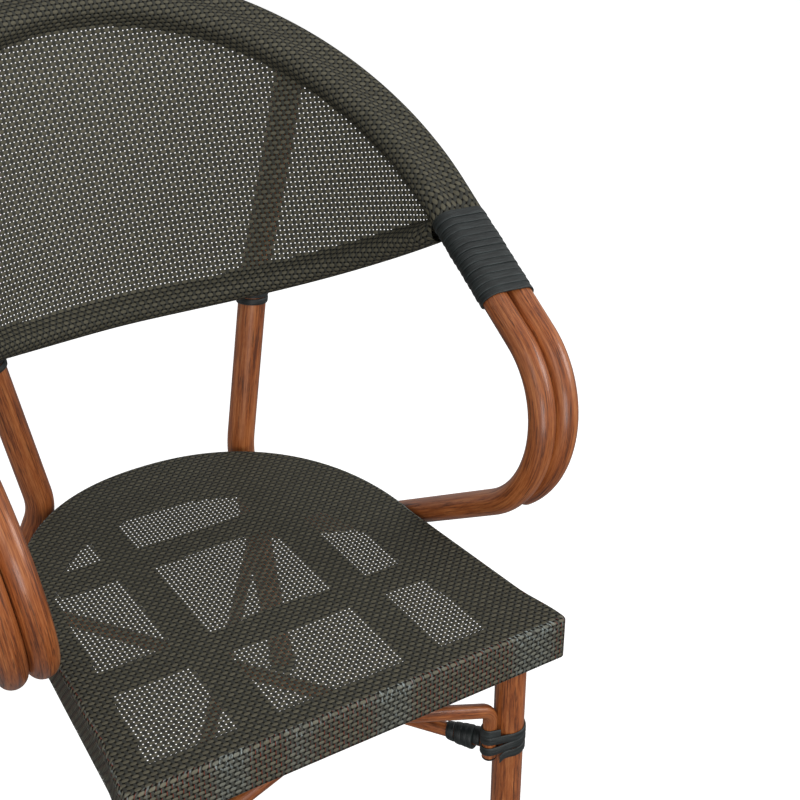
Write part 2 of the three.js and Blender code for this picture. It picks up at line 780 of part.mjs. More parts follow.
/**
 * Rings of a flat strip wound round a core. Each entry of loop is a point of one turn: its share of
 * the turn, its place on the core and the way out. frame sets the loop on the chair for a turn, and
 * swell makes the strip thicker towards its start.
 */
function winding(turns, loop, size, frame, swell = 0) {
  const rings = [];
  for (let k = 0; k <= turns * loop.length; k += 1) {
    const { share, at, out } = loop[k % loop.length];
    const turn = Math.floor(k / loop.length) + share;
    const { centre, across, up, along } = frame(turn);
    const point = centre.clone().addScaledVector(across, at.x).addScaledVector(up, at.y);
    const outward = across.clone().multiplyScalar(out.x).addScaledVector(up, out.y);
    const thickness = size.thickness + swell * (1 - turn / turns);
    const corner = (side, thick) => point.clone()
      .addScaledVector(along, (side * size.width) / 2)
      .addScaledVector(outward, thick);
    rings.push([corner(-1, 0), corner(-1, thickness), corner(1, thickness), corner(1, 0)]);
  }
  return rings;
}

/** Least distance between one turn of a winding and the next, measured on its points. */
function leastGap(rings, steps) {
  let least = Infinity;
  for (let k = 0; k + steps < rings.length; k += 1) {
    for (let m = k + steps - 1; m <= k + steps + 1 && m < rings.length; m += 1) {
      for (const a of rings[k]) {
        for (const b of rings[m]) least = Math.min(least, a.distanceTo(b));
      }
    }
  }
  return least;
}

/** Make a winding's piece and print its least gap to itself. */
function bind(name, rings, steps, mirror = false) {
  const geometry = loft(mirror ? rings.map(mirrored) : rings);
  console.log(`${name}: least gap ${leastGap(rings, steps).toFixed(2)} mm`);
  piece(name, geometry, 'strip');
}

/** One turn round a round core. */
function roundOne(radius) {
  const reach = roomRadius(radius, loopSteps);
  return Array.from({ length: loopSteps }, (_, k) => {
    const angle = (k / loopSteps) * 2 * Math.PI;
    const out = new THREE.Vector2(Math.cos(angle), Math.sin(angle));
    return { share: k / loopSteps, at: out.clone().multiplyScalar(reach), out };
  });
}

/** Arm binding: round both hoop tubes, up the slope of the arm. */
function armBindingRings() {
  const first = (hoopArmDepth - armBinding.start) / hoopTilt.run - strip.width / 2;
  const [low, high] = [armPair(armSlope)[1], armPair(0)[1]];
  const along = high.sub(low).normalize();
  const across = new THREE.Vector3(1, 0, 0).addScaledVector(along, -along.x).normalize();
  const up = across.clone().cross(along).normalize();
  const loop = roundTwo(hoopRadius, hoopRadius, hoopPitch);
  return winding(armBinding.turns - 1, loop, strip, (turn) => (
    { centre: armPair(first - turn * strip.pitch)[1], across, up, along }
  ));
}

/** Leg binding: round a front leg and the end of the arch beside it. */
function legBindingRings() {
  const size = { width: legBinding.width, thickness: strip.thickness };
  const loop = roundTwo(legRadius, braceRadius, legPairSpacing);
  const across = new THREE.Vector3(1, 0, 0);
  const up = new THREE.Vector3(0, 1, 0);
  const along = new THREE.Vector3(0, 0, 1);
  const low = seatHeight - legBinding.low + size.width / 2;
  return winding(legBinding.turns, loop, size, (turn) => {
    const height = low + turn * legBinding.pitch;
    const centre = new THREE.Vector3(frontLegPlace.halfWidth, frontLegPlace.fromFront, height);
    return { centre, across, up, along };
  });
}

/** Rings of a winding round one straight round piece. */
function wrapRings([from, to], radius, start, wrap) {
  const size = { width: wrap.width, thickness: strip.thickness };
  const along = to.clone().sub(from).normalize();
  const across = new THREE.Vector3(0, 0, 1).cross(along).normalize();
  const up = along.clone().cross(across);
  return winding(wrap.turns, roundOne(radius), size, (turn) => (
    { centre: from.clone().addScaledVector(along, start + turn * wrap.pitch), across, up, along }
  ), wrap.swell);
}

/** Wrap on the front end of a brace. */
const braceWrapRings = (sign) => wrapRings(braceLine(sign), braceRadius, braceWrap.start, braceWrap);

/** Binding round an upright just under the lower rail of the back. */
function uprightBindingRings(sign) {
  const line = [place(rearLegBend, sign), place(uprightAtRail, sign)];
  const run = uprightBinding.turns * uprightBinding.pitch + uprightBinding.width;
  const start = line[0].distanceTo(line[1]) - run - uprightBinding.below;
  return wrapRings(line, legRadius, start, uprightBinding);
}

const pairSteps = 2 * (arcSteps + 1);
for (const side of sides) {
  bind(`arm_binding_${side.name}`, armBindingRings(), pairSteps, side.sign < 0);
  bind(`leg_binding_${side.name}`, legBindingRings(), pairSteps, side.sign < 0);
  bind(`brace_wrap_${side.name}`, braceWrapRings(side.sign), loopSteps);
  bind(`upright_binding_${side.name}`, uprightBindingRings(side.sign), loopSteps);
}

// Stand the chair on the origin: middle of its width and depth, on the floor
const bounds = new THREE.Box3().setFromObject(chair);
const middle = bounds.getCenter(new THREE.Vector3());
chair.position.set(-middle.x, -middle.y, -bounds.min.z);
chair.updateMatrixWorld(true);

export default chair;
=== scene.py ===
"""Bistro armchair: painted tube frame, woven mesh seat and back, black strip bindings.

Metres, +Z up, the front of the seat towards -Y and +X to the right as seen from the front,
as in the CAD. Sizes of the chair are measured from the front edge of the seat and from the
top of the seat, and at() sets such a place in the frame.
"""

import logging
import math
import random
from dataclasses import dataclass, field
from enum import Enum
from typing import Callable, Iterable, Sequence

import bpy
import numpy as np
from mathutils import Matrix, Vector


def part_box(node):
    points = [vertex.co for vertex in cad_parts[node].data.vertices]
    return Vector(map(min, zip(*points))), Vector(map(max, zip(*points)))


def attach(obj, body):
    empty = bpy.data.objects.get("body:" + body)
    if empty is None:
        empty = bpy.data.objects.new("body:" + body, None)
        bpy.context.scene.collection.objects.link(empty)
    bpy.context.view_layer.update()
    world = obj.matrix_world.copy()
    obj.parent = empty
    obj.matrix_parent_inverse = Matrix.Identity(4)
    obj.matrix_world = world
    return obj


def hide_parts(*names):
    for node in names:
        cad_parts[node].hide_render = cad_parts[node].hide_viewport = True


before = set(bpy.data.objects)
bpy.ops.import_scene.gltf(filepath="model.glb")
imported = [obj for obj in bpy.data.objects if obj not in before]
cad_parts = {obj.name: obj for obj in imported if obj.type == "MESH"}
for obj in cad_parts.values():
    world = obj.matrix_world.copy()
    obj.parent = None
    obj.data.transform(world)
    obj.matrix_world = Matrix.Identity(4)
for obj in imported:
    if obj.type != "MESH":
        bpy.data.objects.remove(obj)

logging.basicConfig(level=logging.INFO, format="%(message)s")
log = logging.getLogger("bistro_chair")

# Where the front edge and the top of the seat are in the frame
SEAT_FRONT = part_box("seat_mesh")[0][1]
SEAT_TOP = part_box("seat_mesh")[1][2]
BODY = "root"

# Gap between pieces that touch
CLEARANCE = 0.0003
# Turn from one station of an arc to the next, and points round a tube
ARC_STEP = math.radians(3)
TUBE_SIDES = 40
# Radius of the rounding at both ends of a tube, and the angles of its rings
ENDS = (0.0008, 0.0008)
ROUNDING = tuple(math.radians(degrees) for degrees in (0, 22, 45, 67, 90))
# Twice the area between three points that counts as none, in square metres
STRAIGHT = 1e-12

SIDES = (("right", 1), ("left", -1))

# Short names of types: places in space, the stations of a path, spots in a plane
Socket, Material, Piece = bpy.types.NodeSocket, bpy.types.Material, bpy.types.Object
Place = tuple[float, float, float]
Stations = list[Vector]
Spots = list[tuple[float, float]]
Outline = tuple[tuple[float, float], ...]


def at(across: float, depth: float, above: float) -> Vector:
    """Place in the frame of a point of the chair.

    Args:
        across: distance from the middle, to the right as seen from the front.
        depth: distance behind the front edge of the seat.
        above: height over the top of the seat.

    Returns:
        The point in the frame.
    """
    return Vector((across, depth + SEAT_FRONT, above + SEAT_TOP))


def mirrored(stations: Iterable[Vector]) -> Stations:
    """The same stations at the other side of the chair."""
    return [Vector((-p.x, p.y, p.z)) for p in stations]


def smoothstep(value: float, low: float, high: float) -> float:
    """Soft step from 0 at low to 1 at high."""
    share = min(max((value - low) / (high - low), 0.0), 1.0)
    return share * share * (3 - 2 * share)


def spaced(low: float, high: float, parts: int) -> list[float]:
    """Numbers from low to high in equal steps, with both ends."""
    return [low + (high - low) * k / parts for k in range(parts + 1)]


def circle(count: int) -> Spots:
    """Cosine and sine of points spaced evenly round a circle."""
    return [(math.cos(2 * math.pi * i / count), math.sin(2 * math.pi * i / count)) for i in range(count)]


def lengths_along(points: Sequence[Vector]) -> list[float]:
    """Length of a path up to each of its points."""
    lengths = [0.0]
    for a, b in zip(points, points[1:]):
        lengths.append(lengths[-1] + (b - a).length)
    return lengths


def rounded(corners: Sequence[Vector], radius: float) -> Stations:
    """Stations along corners, with an arc at each inner corner.

    Args:
        corners: the corners, with both ends.
        radius: radius of the arcs.

    Returns:
        The stations.
    """
    stations = [corners[0].copy()]
    for before, corner, after in zip(corners, corners[1:], corners[2:]):
        back = (before - corner).normalized()
        on = (after - corner).normalized()
        half = back.angle(on) / 2
        centre = corner + (back + on).normalized() * (radius / math.sin(half))
        first = corner + back * (radius / math.tan(half)) - centre
        axis = -back.cross(on).normalized()
        sweep = math.pi - 2 * half
        steps = max(2, round(sweep / ARC_STEP))
        stations += [centre + Matrix.Rotation(sweep * k / steps, 3, axis) @ first for k in range(steps + 1)]
    stations.append(corners[-1].copy())
    return stations


def shortened(stations: Stations, length: float) -> Stations:
    """The same stations, shorter at their first end.

    Args:
        stations: the path.
        length: how much of it goes.

    Returns:
        What is left of the path.
    """
    left, first = length, 0
    while (stations[first + 1] - stations[first]).length <= left:
        left -= (stations[first + 1] - stations[first]).length
        first += 1
    on = (stations[first + 1] - stations[first]).normalized()
    return [stations[first] + on * left, *stations[first + 1:]]


def hull(points: np.ndarray) -> np.ndarray:
    """Convex outline of points in a plane.

    Args:
        points: the points, one in each row.

    Returns:
        The corners of the outline, anticlockwise.
    """
    ordered = sorted(map(tuple, points))

    def chain(row: Spots) -> Spots:
        """One side of the outline, left end to right end or back."""
        side: Spots = []
        for p in row:
            while len(side) > 1:
                (ax, ay), (bx, by) = side[-2:]
                if (bx - ax) * (p[1] - ay) - (by - ay) * (p[0] - ax) > STRAIGHT:
                    break
                side.pop()
            side.append(p)
        return side[:-1]

    return np.array(chain(ordered) + chain(ordered[::-1]))


# Shader maths


def calculation(operation: str, about: str, swapped: bool = False) -> Callable[..., "Signal"]:
    """A method of Signal that adds a Math node.

    Args:
        operation: operation of the node.
        about: what the method gives.
        swapped: whether the signal comes last.

    Returns:
        The method.
    """
    def method(self: "Signal", *others: "Signal | float") -> "Signal":
        """Add the node and give its result."""
        return self.shader.math(operation, *((*others, self) if swapped else (self, *others)))
    method.__doc__ = about
    return method


class Signal:
    """A number that varies over a surface. Its operators add Math nodes."""

    def __init__(self, shader: "Nodes", socket: Socket) -> None:
        """Wrap a socket of a shader's node."""
        self.shader = shader
        self.socket = socket

    __add__ = __radd__ = calculation("ADD", "Sum.")
    __sub__ = calculation("SUBTRACT", "Difference.")
    __rsub__ = calculation("SUBTRACT", "Difference from a number.", swapped=True)
    __mul__ = __rmul__ = calculation("MULTIPLY", "Product.")
    __truediv__ = calculation("DIVIDE", "Quotient.")
    floor = calculation("FLOOR", "Whole part.")
    size = calculation("ABSOLUTE", "Value without its sign.")
    cosine = calculation("COSINE", "Cosine.")
    higher = calculation("MAXIMUM", "The larger of two.")
    over = calculation("GREATER_THAN", "1 where this is larger, else 0.")

    def between(self, low: float, high: float) -> "Signal":
        """Soft step from 0 at low to 1 at high."""
        node = self.shader.add(
            "ShaderNodeMapRange", {"interpolation_type": "SMOOTHSTEP"}, {0: self, 1: low, 2: high}
        )
        return Signal(self.shader, node.outputs[0])


def colour(red: int, green: int, blue: int) -> tuple[float, float, float, float]:
    """Colour for a node from the red, green and blue of a screen, 0 to 255."""
    def linear(value: int) -> float:
        """One part of the colour as light."""
        share = value / 255
        return share / 12.92 if share <= 0.04045 else ((share + 0.055) / 1.055) ** 2.4
    return (linear(red), linear(green), linear(blue), 1.0)


class Nodes:
    """A node tree, and the nodes that are added to it."""

    def __init__(self, tree: bpy.types.NodeTree) -> None:
        """Take a tree and empty it."""
        self.tree = tree
        self.tree.nodes.clear()

    def add(self, kind: str, settings: dict[str, object], sockets: dict[object, object]) -> bpy.types.Node:
        """Add a node.

        Args:
            kind: type of the node.
            settings: its settings, set first. "stops" are a colour ramp's places and colours.
            sockets: values or links of its input sockets, by name or number.

        Returns:
            The node.
        """
        node = self.tree.nodes.new(kind)
        for name, value in settings.items():
            if name == "stops":
                elements = node.color_ramp.elements
                while len(elements) < len(value):
                    elements.new(1.0)
                for element, (place, tint) in zip(elements, value):
                    element.position, element.color = place, tint
            else:
                setattr(node, name, value)
        for key, value in sockets.items():
            socket = node.inputs[key]
            if isinstance(value, Signal):
                self.tree.links.new(value.socket, socket)
            elif isinstance(value, Socket):
                self.tree.links.new(value, socket)
            else:
                socket.default_value = value
        return node

    def math(self, operation: str, *values: "Signal | float") -> Signal:
        """Result of a Math node."""
        node = self.add("ShaderNodeMath", {"operation": operation}, dict(enumerate(values)))
        return Signal(self, node.outputs[0])

    def place(self) -> tuple[Socket, Signal, Signal, Signal]:
        """The place on the piece that its mesh keeps, whole and as three signals."""
        kept = self.add("ShaderNodeAttribute", {"attribute_name": "place"}, {}).outputs["Vector"]
        parts = self.add("ShaderNodeSeparateXYZ", {}, {0: kept}).outputs
        return kept, Signal(self, parts[0]), Signal(self, parts[1]), Signal(self, parts[2])

    def facing(self) -> Signal:
        """0 where the surface faces the eye, to 1 where it is seen edge on."""
        return Signal(self, self.add("ShaderNodeLayerWeight", {}, {"Blend": 0.5}).outputs["Facing"])

    def world(self) -> Socket:
        """The place in the frame."""
        return self.add("ShaderNodeTexCoord", {}, {}).outputs["Object"]

    def noise(self, vector: Socket, scale: Place, detail: float = 2.0) -> Signal:
        """Noise over a vector, with one scale for each axis.

        Args:
            vector: where the noise is read.
            scale: how fine it is along each axis, per metre.
            detail: how many finer layers it has.

        Returns:
            The noise, about 0.5 in the middle.
        """
        scaled = self.add("ShaderNodeVectorMath", {"operation": "MULTIPLY"}, {0: vector, 1: scale}).outputs[0]
        sockets = {"Vector": scaled, "Scale": 1.0, "Detail": detail, "Roughness": 0.55}
        return Signal(self, self.add("ShaderNodeTexNoise", {}, sockets).outputs[0])

    def vector(self, x: "Signal | float", y: "Signal | float", z: "Signal | float") -> Socket:
        """Three signals as a vector."""
        return self.add("ShaderNodeCombineXYZ", {}, {0: x, 1: y, 2: z}).outputs[0]

    def cell(self, vector: Socket) -> Signal:
        """A random number for each whole vector."""
        return Signal(self, self.add("ShaderNodeTexWhiteNoise", {}, {"Vector": vector}).outputs["Value"])

    def blend(self, share: Signal, low: object, high: object) -> Socket:
        """Colour from low at share 0 to high at share 1."""
        return self.add("ShaderNodeMix", {"data_type": "RGBA"}, {0: share, 6: low, 7: high}).outputs[2]

    def shaded(self, tint: Socket, light: Signal) -> Socket:
        """Colour times a number."""
        node = self.add(
            "ShaderNodeMix", {"data_type": "RGBA", "blend_type": "MULTIPLY"},
            {0: 1.0, 6: tint, 7: self.vector(light, light, light)},
        )
        return node.outputs[2]

    def ramp(self, share: Signal, stops: list[tuple[float, tuple]]) -> Socket:
        """Colour at a share of a colour ramp."""
        return self.add("ShaderNodeValToRGB", {"stops": stops}, {0: share}).outputs[0]


class Shader(Nodes):
    """A material with one Principled shader, and the nodes that feed it."""

    def __init__(self, name: str, constants: dict[str, object]) -> None:
        """Start a material.

        Args:
            name: name of the material.
            constants: values of the shader's own sockets that are the same all over.
        """
        self.material = bpy.data.materials.new(name)
        self.material.use_nodes = True
        super().__init__(self.material.node_tree)
        self.main = self.add("ShaderNodeBsdfPrincipled", {}, constants)
        self.add("ShaderNodeOutputMaterial", {}, {"Surface": self.main.outputs[0]})

    def dress(self, base: Socket, rough: Signal, height: Signal, depth: float,
              opaque: "Signal | None" = None) -> Material:
        """Feed the shader with what varies over the surface.

        Args:
            base: colour.
            rough: roughness.
            height: relief, from 0 to 1.
            depth: height of the relief in metres.
            opaque: 1 where there is material and 0 in a hole.

        Returns:
            The material.
        """
        bump = self.add("ShaderNodeBump", {}, {"Height": height, "Distance": depth, "Strength": 1.0})
        links = {"Base Color": base, "Roughness": rough.socket, "Normal": bump.outputs[0]}
        if opaque is not None:
            links["Alpha"] = opaque.socket
        for name, socket in links.items():
            self.tree.links.new(socket, self.main.inputs[name])
        return self.material


# Finishes


@dataclass(frozen=True)
class GrainPaint:
    """Satin paint on the tubes with a reddish-brown wood grain along them."""

    line: tuple = colour(46, 24, 14)
    dark: tuple = colour(100, 50, 24)
    brown: tuple = colour(152, 82, 38)
    light: tuple = colour(182, 112, 62)
    coat: float = 0.4
    coat_rough: float = 0.2
    bands_scale: Place = (130.0, 130.0, 9.0)
    streaks_scale: Place = (560.0, 560.0, 28.0)
    lines_scale: Place = (980.0, 980.0, 44.0)
    fibres_scale: Place = (2200.0, 2200.0, 170.0)
    patches_scale: Place = (40.0, 40.0, 16.0)
    line_share: float = 0.62
    relief: float = 0.00012

    def material(self) -> Material:
        """The paint as a material."""
        shader = Shader("grain_paint", {
            "Coat Weight": self.coat, "Coat Roughness": self.coat_rough, "Specular IOR Level": 0.4,
        })
        kept, _, _, _ = shader.place()
        bands = shader.noise(kept, self.bands_scale, 3.0)
        streaks = shader.noise(kept, self.streaks_scale, 4.0)
        lines = shader.noise(kept, self.lines_scale, 3.0)
        fibres = shader.noise(kept, self.fibres_scale)
        patches = shader.noise(kept, self.patches_scale)
        grain = bands * 0.34 + streaks * 0.46 + fibres * 0.2
        tint = shader.ramp(grain, [(0.39, self.dark), (0.49, self.brown), (0.6, self.light)])
        marks = lines.between(0.55, 0.63) * (1 - bands.between(0.46, 0.66))
        tint = shader.blend(marks * self.line_share, tint, self.line)
        tint = shader.shaded(tint, patches * 0.6 + 0.7)
        rough = 0.33 + fibres * 0.2 + marks * 0.15
        return shader.dress(tint, rough, fibres * 0.6 - marks * 0.4, self.relief)


@dataclass(frozen=True)
class DarkPaint:
    """Dark satin paint on the seat frame under the mesh."""

    tint: tuple = colour(20, 20, 17)
    light: tuple = colour(36, 35, 30)
    cloud_scale: Place = (35.0, 35.0, 35.0)
    grit_scale: Place = (900.0, 900.0, 900.0)
    relief: float = 0.0001

    def material(self) -> Material:
        """The paint as a material."""
        shader = Shader("dark_paint", {})
        here = shader.world()
        cloud = shader.noise(here, self.cloud_scale, 3.0)
        grit = shader.noise(here, self.grit_scale)
        tint = shader.blend(cloud.between(0.3, 0.75), self.tint, self.light)
        return shader.dress(tint, 0.42 + grit * 0.2, grit, self.relief)


@dataclass(frozen=True)
class BlackPlastic:
    """Moulded black plastic of the glides, caps and plugs."""

    tint: tuple = colour(27, 28, 30)
    worn: tuple = colour(52, 53, 55)
    grit_scale: Place = (1400.0, 1400.0, 1400.0)
    scuffs_scale: Place = (120.0, 120.0, 260.0)
    relief: float = 0.00015

    def material(self) -> Material:
        """The plastic as a material."""
        shader = Shader("black_plastic", {"Specular IOR Level": 0.4})
        here = shader.world()
        grit = shader.noise(here, self.grit_scale, 3.0)
        scuffs = shader.noise(here, self.scuffs_scale, 4.0).between(0.58, 0.72)
        tint = shader.blend(scuffs, self.tint, self.worn)
        return shader.dress(tint, 0.45 + scuffs * 0.2, grit, self.relief)


@dataclass(frozen=True)
class StripPlastic:
    """Satin black plastic strip of the bindings, with fine ribs along it."""

    tint: tuple = colour(22, 26, 26)
    light: tuple = colour(58, 66, 66)
    ribs: float = 9.0
    drag_scale: Place = (1500.0, 60.0, 3.0)
    across_run: float = 0.004
    relief: float = 0.00018

    def material(self) -> Material:
        """The strip as a material."""
        shader = Shader("strip_plastic", {"Specular IOR Level": 0.5})
        _, across, along, turn = shader.place()
        rib = (across * (self.ribs * math.pi)).cosine() * 0.5 + 0.5
        drag = shader.noise(shader.vector(across * self.across_run, along, turn), self.drag_scale, 3.0)
        # The colour is lighter towards both edges of the strip: a painted satin highlight. The drag marks are
        # the plastic's own.
        edge = across.size().between(0.72, 1.0)
        tint = shader.blend(drag.between(0.4, 0.7) * 0.6 + edge * 0.4, self.tint, self.light)
        return shader.dress(tint, 0.36 + drag * 0.24, rib * 0.4 + drag * 0.6, self.relief)


@dataclass(frozen=True)
class OpenWeave:
    """Plain weave of plastic yarn: taupe yarns across, dark yarns along, a hole between."""

    across_pitch: float = 0.00428
    along_pitch: float = 0.00456
    half_taupe: float = 0.388
    half_dark: float = 0.352
    taupe: tuple = colour(82, 79, 66)
    taupe_light: tuple = colour(108, 104, 88)
    dark: tuple = colour(53, 51, 43)
    # Colour of the painted sheen on the yarns; thin random lines on the dark yarns lean towards it too
    slate_sheen: tuple = colour(128, 136, 134)
    red: tuple = colour(128, 54, 38)
    # How much painted shade darkens the cloth where it is seen edge on
    grazing_painted_shade: float = 0.3
    # How much painted light brightens the cloth on the seat's deep edge
    apron_painted_light: float = 0.3
    front_from: float = 0.0004
    fold_end: tuple[float, float] = (0.008, 0.015)
    closed_below: float = -0.005
    drift_scale: Place = (60.0, 60.0, 60.0)
    lines_scale: Place = (9.0, 1.2, 1.0)
    stretch_scale: Place = (0.06, 1.0, 1.0)
    gloss_scale: Place = (2.1, 0.8, 1.0)
    relief: float = 0.0011

    def yarn(self, beside: Signal, wave: Signal, half: float) -> tuple[Signal, Signal]:
        """Relief of one set of yarns.

        Args:
            beside: distance from the yarn's middle, in cells.
            wave: rise and fall of the yarn along its length, -1 to 1.
            half: half the yarn's width, in cells.

        Returns:
            Its height, and 1 where there is yarn.
        """
        share = beside.size() / half
        there = 1 - share.between(0.94, 1.06)
        crown = 1 - share * share * 0.9
        return (wave * 0.7 + crown + 1.0) * there, there

    def material(self) -> Material:
        """The weave as a material."""
        shader = Shader("open_weave", {"Specular IOR Level": 0.16})
        kept, across, along, band = shader.place()
        front = band.over(self.front_from)
        drift = shader.noise(kept, self.drift_scale)
        x = across / self.across_pitch + (drift - 0.5) * 0.24
        y = along / self.along_pitch + (drift - 0.5) * 0.2
        column, row = (x + 0.5).floor(), (y + 0.5).floor()
        taupe_wave, dark_wave = ((x + row) * math.pi).cosine(), ((y + column) * math.pi).cosine() * -1.0
        taupe_height, taupe_there = self.yarn(y - row, taupe_wave, self.half_taupe)
        dark_height, dark_there = self.yarn(x - column, dark_wave, self.half_dark)
        on_top = taupe_height.over(dark_height + front * 0.25 + 0.3)
        height = taupe_height.higher(dark_height)
        lone = shader.cell(shader.vector(column, row, 0.0))
        length = shader.cell(shader.vector(row, 7.0, 0.0))
        lines = shader.noise(shader.vector(x, y, 0.0), self.lines_scale)
        taupe = shader.blend(lone * 0.5 + length * 0.3 + drift * 0.2, self.taupe, self.taupe_light)
        stretch = shader.noise(shader.vector(x, 0.0, 0.0), self.stretch_scale, 1.0).between(0.42, 0.52)
        gloss = shader.noise(shader.vector(x, y, band), self.gloss_scale, 3.0)
        # Painted sheen: light grey glints on the yarns, strongest along the fold and fainter down the seat's
        # deep edge. The taupe yarns on that edge are also greyed towards the sheen colour, a painted
        # reflection.
        fold = front * (1 - band.between(*self.fold_end))
        sheen_fleck = gloss.between(0.5, 0.62) * (fold * (1 - stretch * 0.5) + front * (1 - stretch) * 0.4)
        dark = shader.blend(sheen_fleck * 0.9 + lines * 0.18, self.dark, self.slate_sheen)
        taupe = shader.blend(sheen_fleck * 0.45 + front * (1 - stretch) * 0.25, taupe, self.slate_sheen)
        side = ((x - column) * -1.0).between(0.16, 0.26)
        thread = side * stretch * front * gloss.between(0.34, 0.46)
        dark = shader.blend(thread, dark, self.red)
        tint = shader.blend(on_top, dark, taupe)
        # Painted shade: the colour darkens where the yarns dip and meet, more so on the seat's deep edge, and
        # is near black in closed holes.
        crevice_shade = (height - front * 0.15).between(1.1, 1.95) * 0.94 + 0.06
        # Painted shade where the cloth is seen edge on, and painted light on the seat's deep edge.
        light = crevice_shade * (1 - shader.facing() * self.grazing_painted_shade) * (front * self.apron_painted_light + 1.0)
        tint = shader.shaded(tint, light)
        rough = 0.56 + lines * 0.2 - sheen_fleck * 0.2
        # Holes of the cloth wrapped round the tubes are closed, and the painted crevice shade makes them near
        # black: a dark fill for the shaded tube and cloth inside the sleeve.
        closed = 1 - band.over(self.closed_below)
        there = taupe_there.higher(dark_there).higher(closed)
        return shader.dress(tint, rough, height * 0.4 + lines * 0.04, self.relief, there)


class Finish(Enum):
    """The chair's finishes, each with its slot in the record."""

    TUBE = "tube"
    FRAME = "frame"
    MESH = "mesh"
    STRIP = "strip"
    PLASTIC = "plastic"


MAKERS: dict[Finish, GrainPaint | DarkPaint | OpenWeave | StripPlastic | BlackPlastic] = {
    Finish.TUBE: GrainPaint(), Finish.FRAME: DarkPaint(), Finish.MESH: OpenWeave(),
    Finish.STRIP: StripPlastic(), Finish.PLASTIC: BlackPlastic(),
}


# Meshes


@dataclass
class Draft:
    """A mesh under way: its points, the place on the piece that each keeps, and its faces."""

    points: list[Vector] = field(default_factory=list)
    places: list[Place] = field(default_factory=list)
    faces: list[tuple[int, ...]] = field(default_factory=list)
    smooth: list[bool] = field(default_factory=list)

    def row(self, points: Iterable[Vector], places: Iterable[Place]) -> list[int]:
        """Add a row of points and give their numbers."""
        start = len(self.points)
        self.points.extend(points)
        self.places.extend(places)
        return list(range(start, len(self.points)))

    def bridge(self, first: list[int], second: list[int], closed: bool = True) -> None:
        """Join two rows of equal length with smooth faces.

        Args:
            first: numbers of the first row's points.
            second: numbers of the second row's points.
            closed: whether each row is a ring.
        """
        count = len(first)
        for i in range(count if closed else count - 1):
            j = (i + 1) % count
            self.faces.append((first[i], first[j], second[j], second[i]))
            self.smooth.append(True)

    def skin(self, rows: Sequence[list[int]], closed: bool = True, flipped: bool = False) -> None:
        """Join rows one after another, the faces turned over if flipped."""
        for one, other in zip(rows, rows[1:]):
            self.bridge(*((other, one) if flipped else (one, other)), closed)

    def cover(self, ring: list[int], turned: bool) -> None:
        """Close a ring with one flat face of its own points."""
        own = self.row([self.points[i] for i in ring], [self.places[i] for i in ring])
        self.faces.append(tuple(own if turned else own[::-1]))
        self.smooth.append(False)

    def build(self, name: str) -> Piece:
        """The mesh as an object of the scene."""
        mesh = bpy.data.meshes.new(name)
        mesh.from_pydata(self.points, [], self.faces)
        mesh.polygons.foreach_set("use_smooth", self.smooth)
        kept = mesh.attributes.new("place", "FLOAT_VECTOR", "POINT")
        kept.data.foreach_set("vector", [value for place in self.places for value in place])
        mesh.validate()
        mesh.update()
        piece = bpy.data.objects.new(name, mesh)
        bpy.context.scene.collection.objects.link(piece)
        return piece


def transported(stations: Sequence[Vector]) -> list[tuple[Vector, Vector]]:
    """Two directions square to a path at each station, turned as little as possible.

    Args:
        stations: the path.

    Returns:
        The two directions at each station.
    """
    tangents = []
    for k in range(len(stations)):
        before, after = stations[max(k - 1, 0)], stations[min(k + 1, len(stations) - 1)]
        tangents.append((after - before).normalized())
    guide = Vector((0, 0, 1)) if abs(tangents[0].z) < 0.9 else Vector((0, 1, 0))
    side = tangents[0].cross(guide).normalized()
    frames = []
    for tangent in tangents:
        side = (side - tangent * side.dot(tangent)).normalized()
        frames.append((side, side.cross(tangent).normalized()))
    return frames


def tube(name: str, stations: Stations, radius: float, ends: tuple[float, float] = ENDS,
         seed: float = 0.0) -> Piece:
    """A smooth round tube along stations, closed at both ends with a small rounding.

    Args:
        name: name of the piece.
        stations: its middle line.
        radius: outer radius.
        ends: radius of the rounding at each end.
        seed: where its grain starts.

    Returns:
        The piece.
    """
    frames, lengths = transported(stations), lengths_along(stations)

    def end(index: int, inward: Vector, rounding: float) -> list[tuple[Vector, tuple, float, float]]:
        """Middle, directions, radius and length of the rings at one end, from its face on."""
        return [(
            stations[index] + inward * rounding * (1 - math.cos(angle)), frames[index],
            radius - rounding * (1 - math.sin(angle)), lengths[index],
        ) for angle in ROUNDING]

    first, last = (stations[1] - stations[0]).normalized(), (stations[-2] - stations[-1]).normalized()
    entries = end(0, first, ends[0])
    entries += [(stations[k], frames[k], radius, lengths[k]) for k in range(1, len(stations) - 1)]
    entries += reversed(end(-1, last, ends[1]))
    draft = Draft()
    rings = []
    for centre, (side, up), reach, length in entries:
        rings.append(draft.row(
            [centre + side * (c * reach) + up * (s * reach) for c, s in circle(TUBE_SIDES)],
            [(c * radius + seed, s * radius, length + seed) for c, s in circle(TUBE_SIDES)],
        ))
    draft.skin(rings)
    draft.cover(rings[0], False)
    draft.cover(rings[-1], True)
    return draft.build(name)


@dataclass
class Workshop:
    """Makes each material once, dresses pieces and puts them on the chair."""

    made: dict[Finish, Material] = field(default_factory=dict)

    def material(self, finish: Finish) -> Material:
        """The material of a finish."""
        if finish not in self.made:
            self.made[finish] = MAKERS[finish].material()
        return self.made[finish]

    def mount(self, piece: Piece, finish: Finish, *nodes: str) -> Piece:
        """Give a piece its finish, its body and the nodes that it stands for.

        Args:
            piece: the piece.
            finish: its finish.
            nodes: CAD nodes that it replaces.

        Returns:
            The piece.
        """
        piece.data.materials.append(self.material(finish))
        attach(piece, BODY)
        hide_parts(*nodes)
        log.info("%s: %d faces, for %s", piece.name, len(piece.data.polygons), ", ".join(nodes))
        return piece

    def repaint(self, finish: Finish, *nodes: str) -> None:
        """Give CAD nodes that stay a finish of their own."""
        for node in nodes:
            bpy.data.objects[node].material_slots[0].material = self.material(finish)
            log.info("%s: kept, %s", node, finish.value)


# Seat


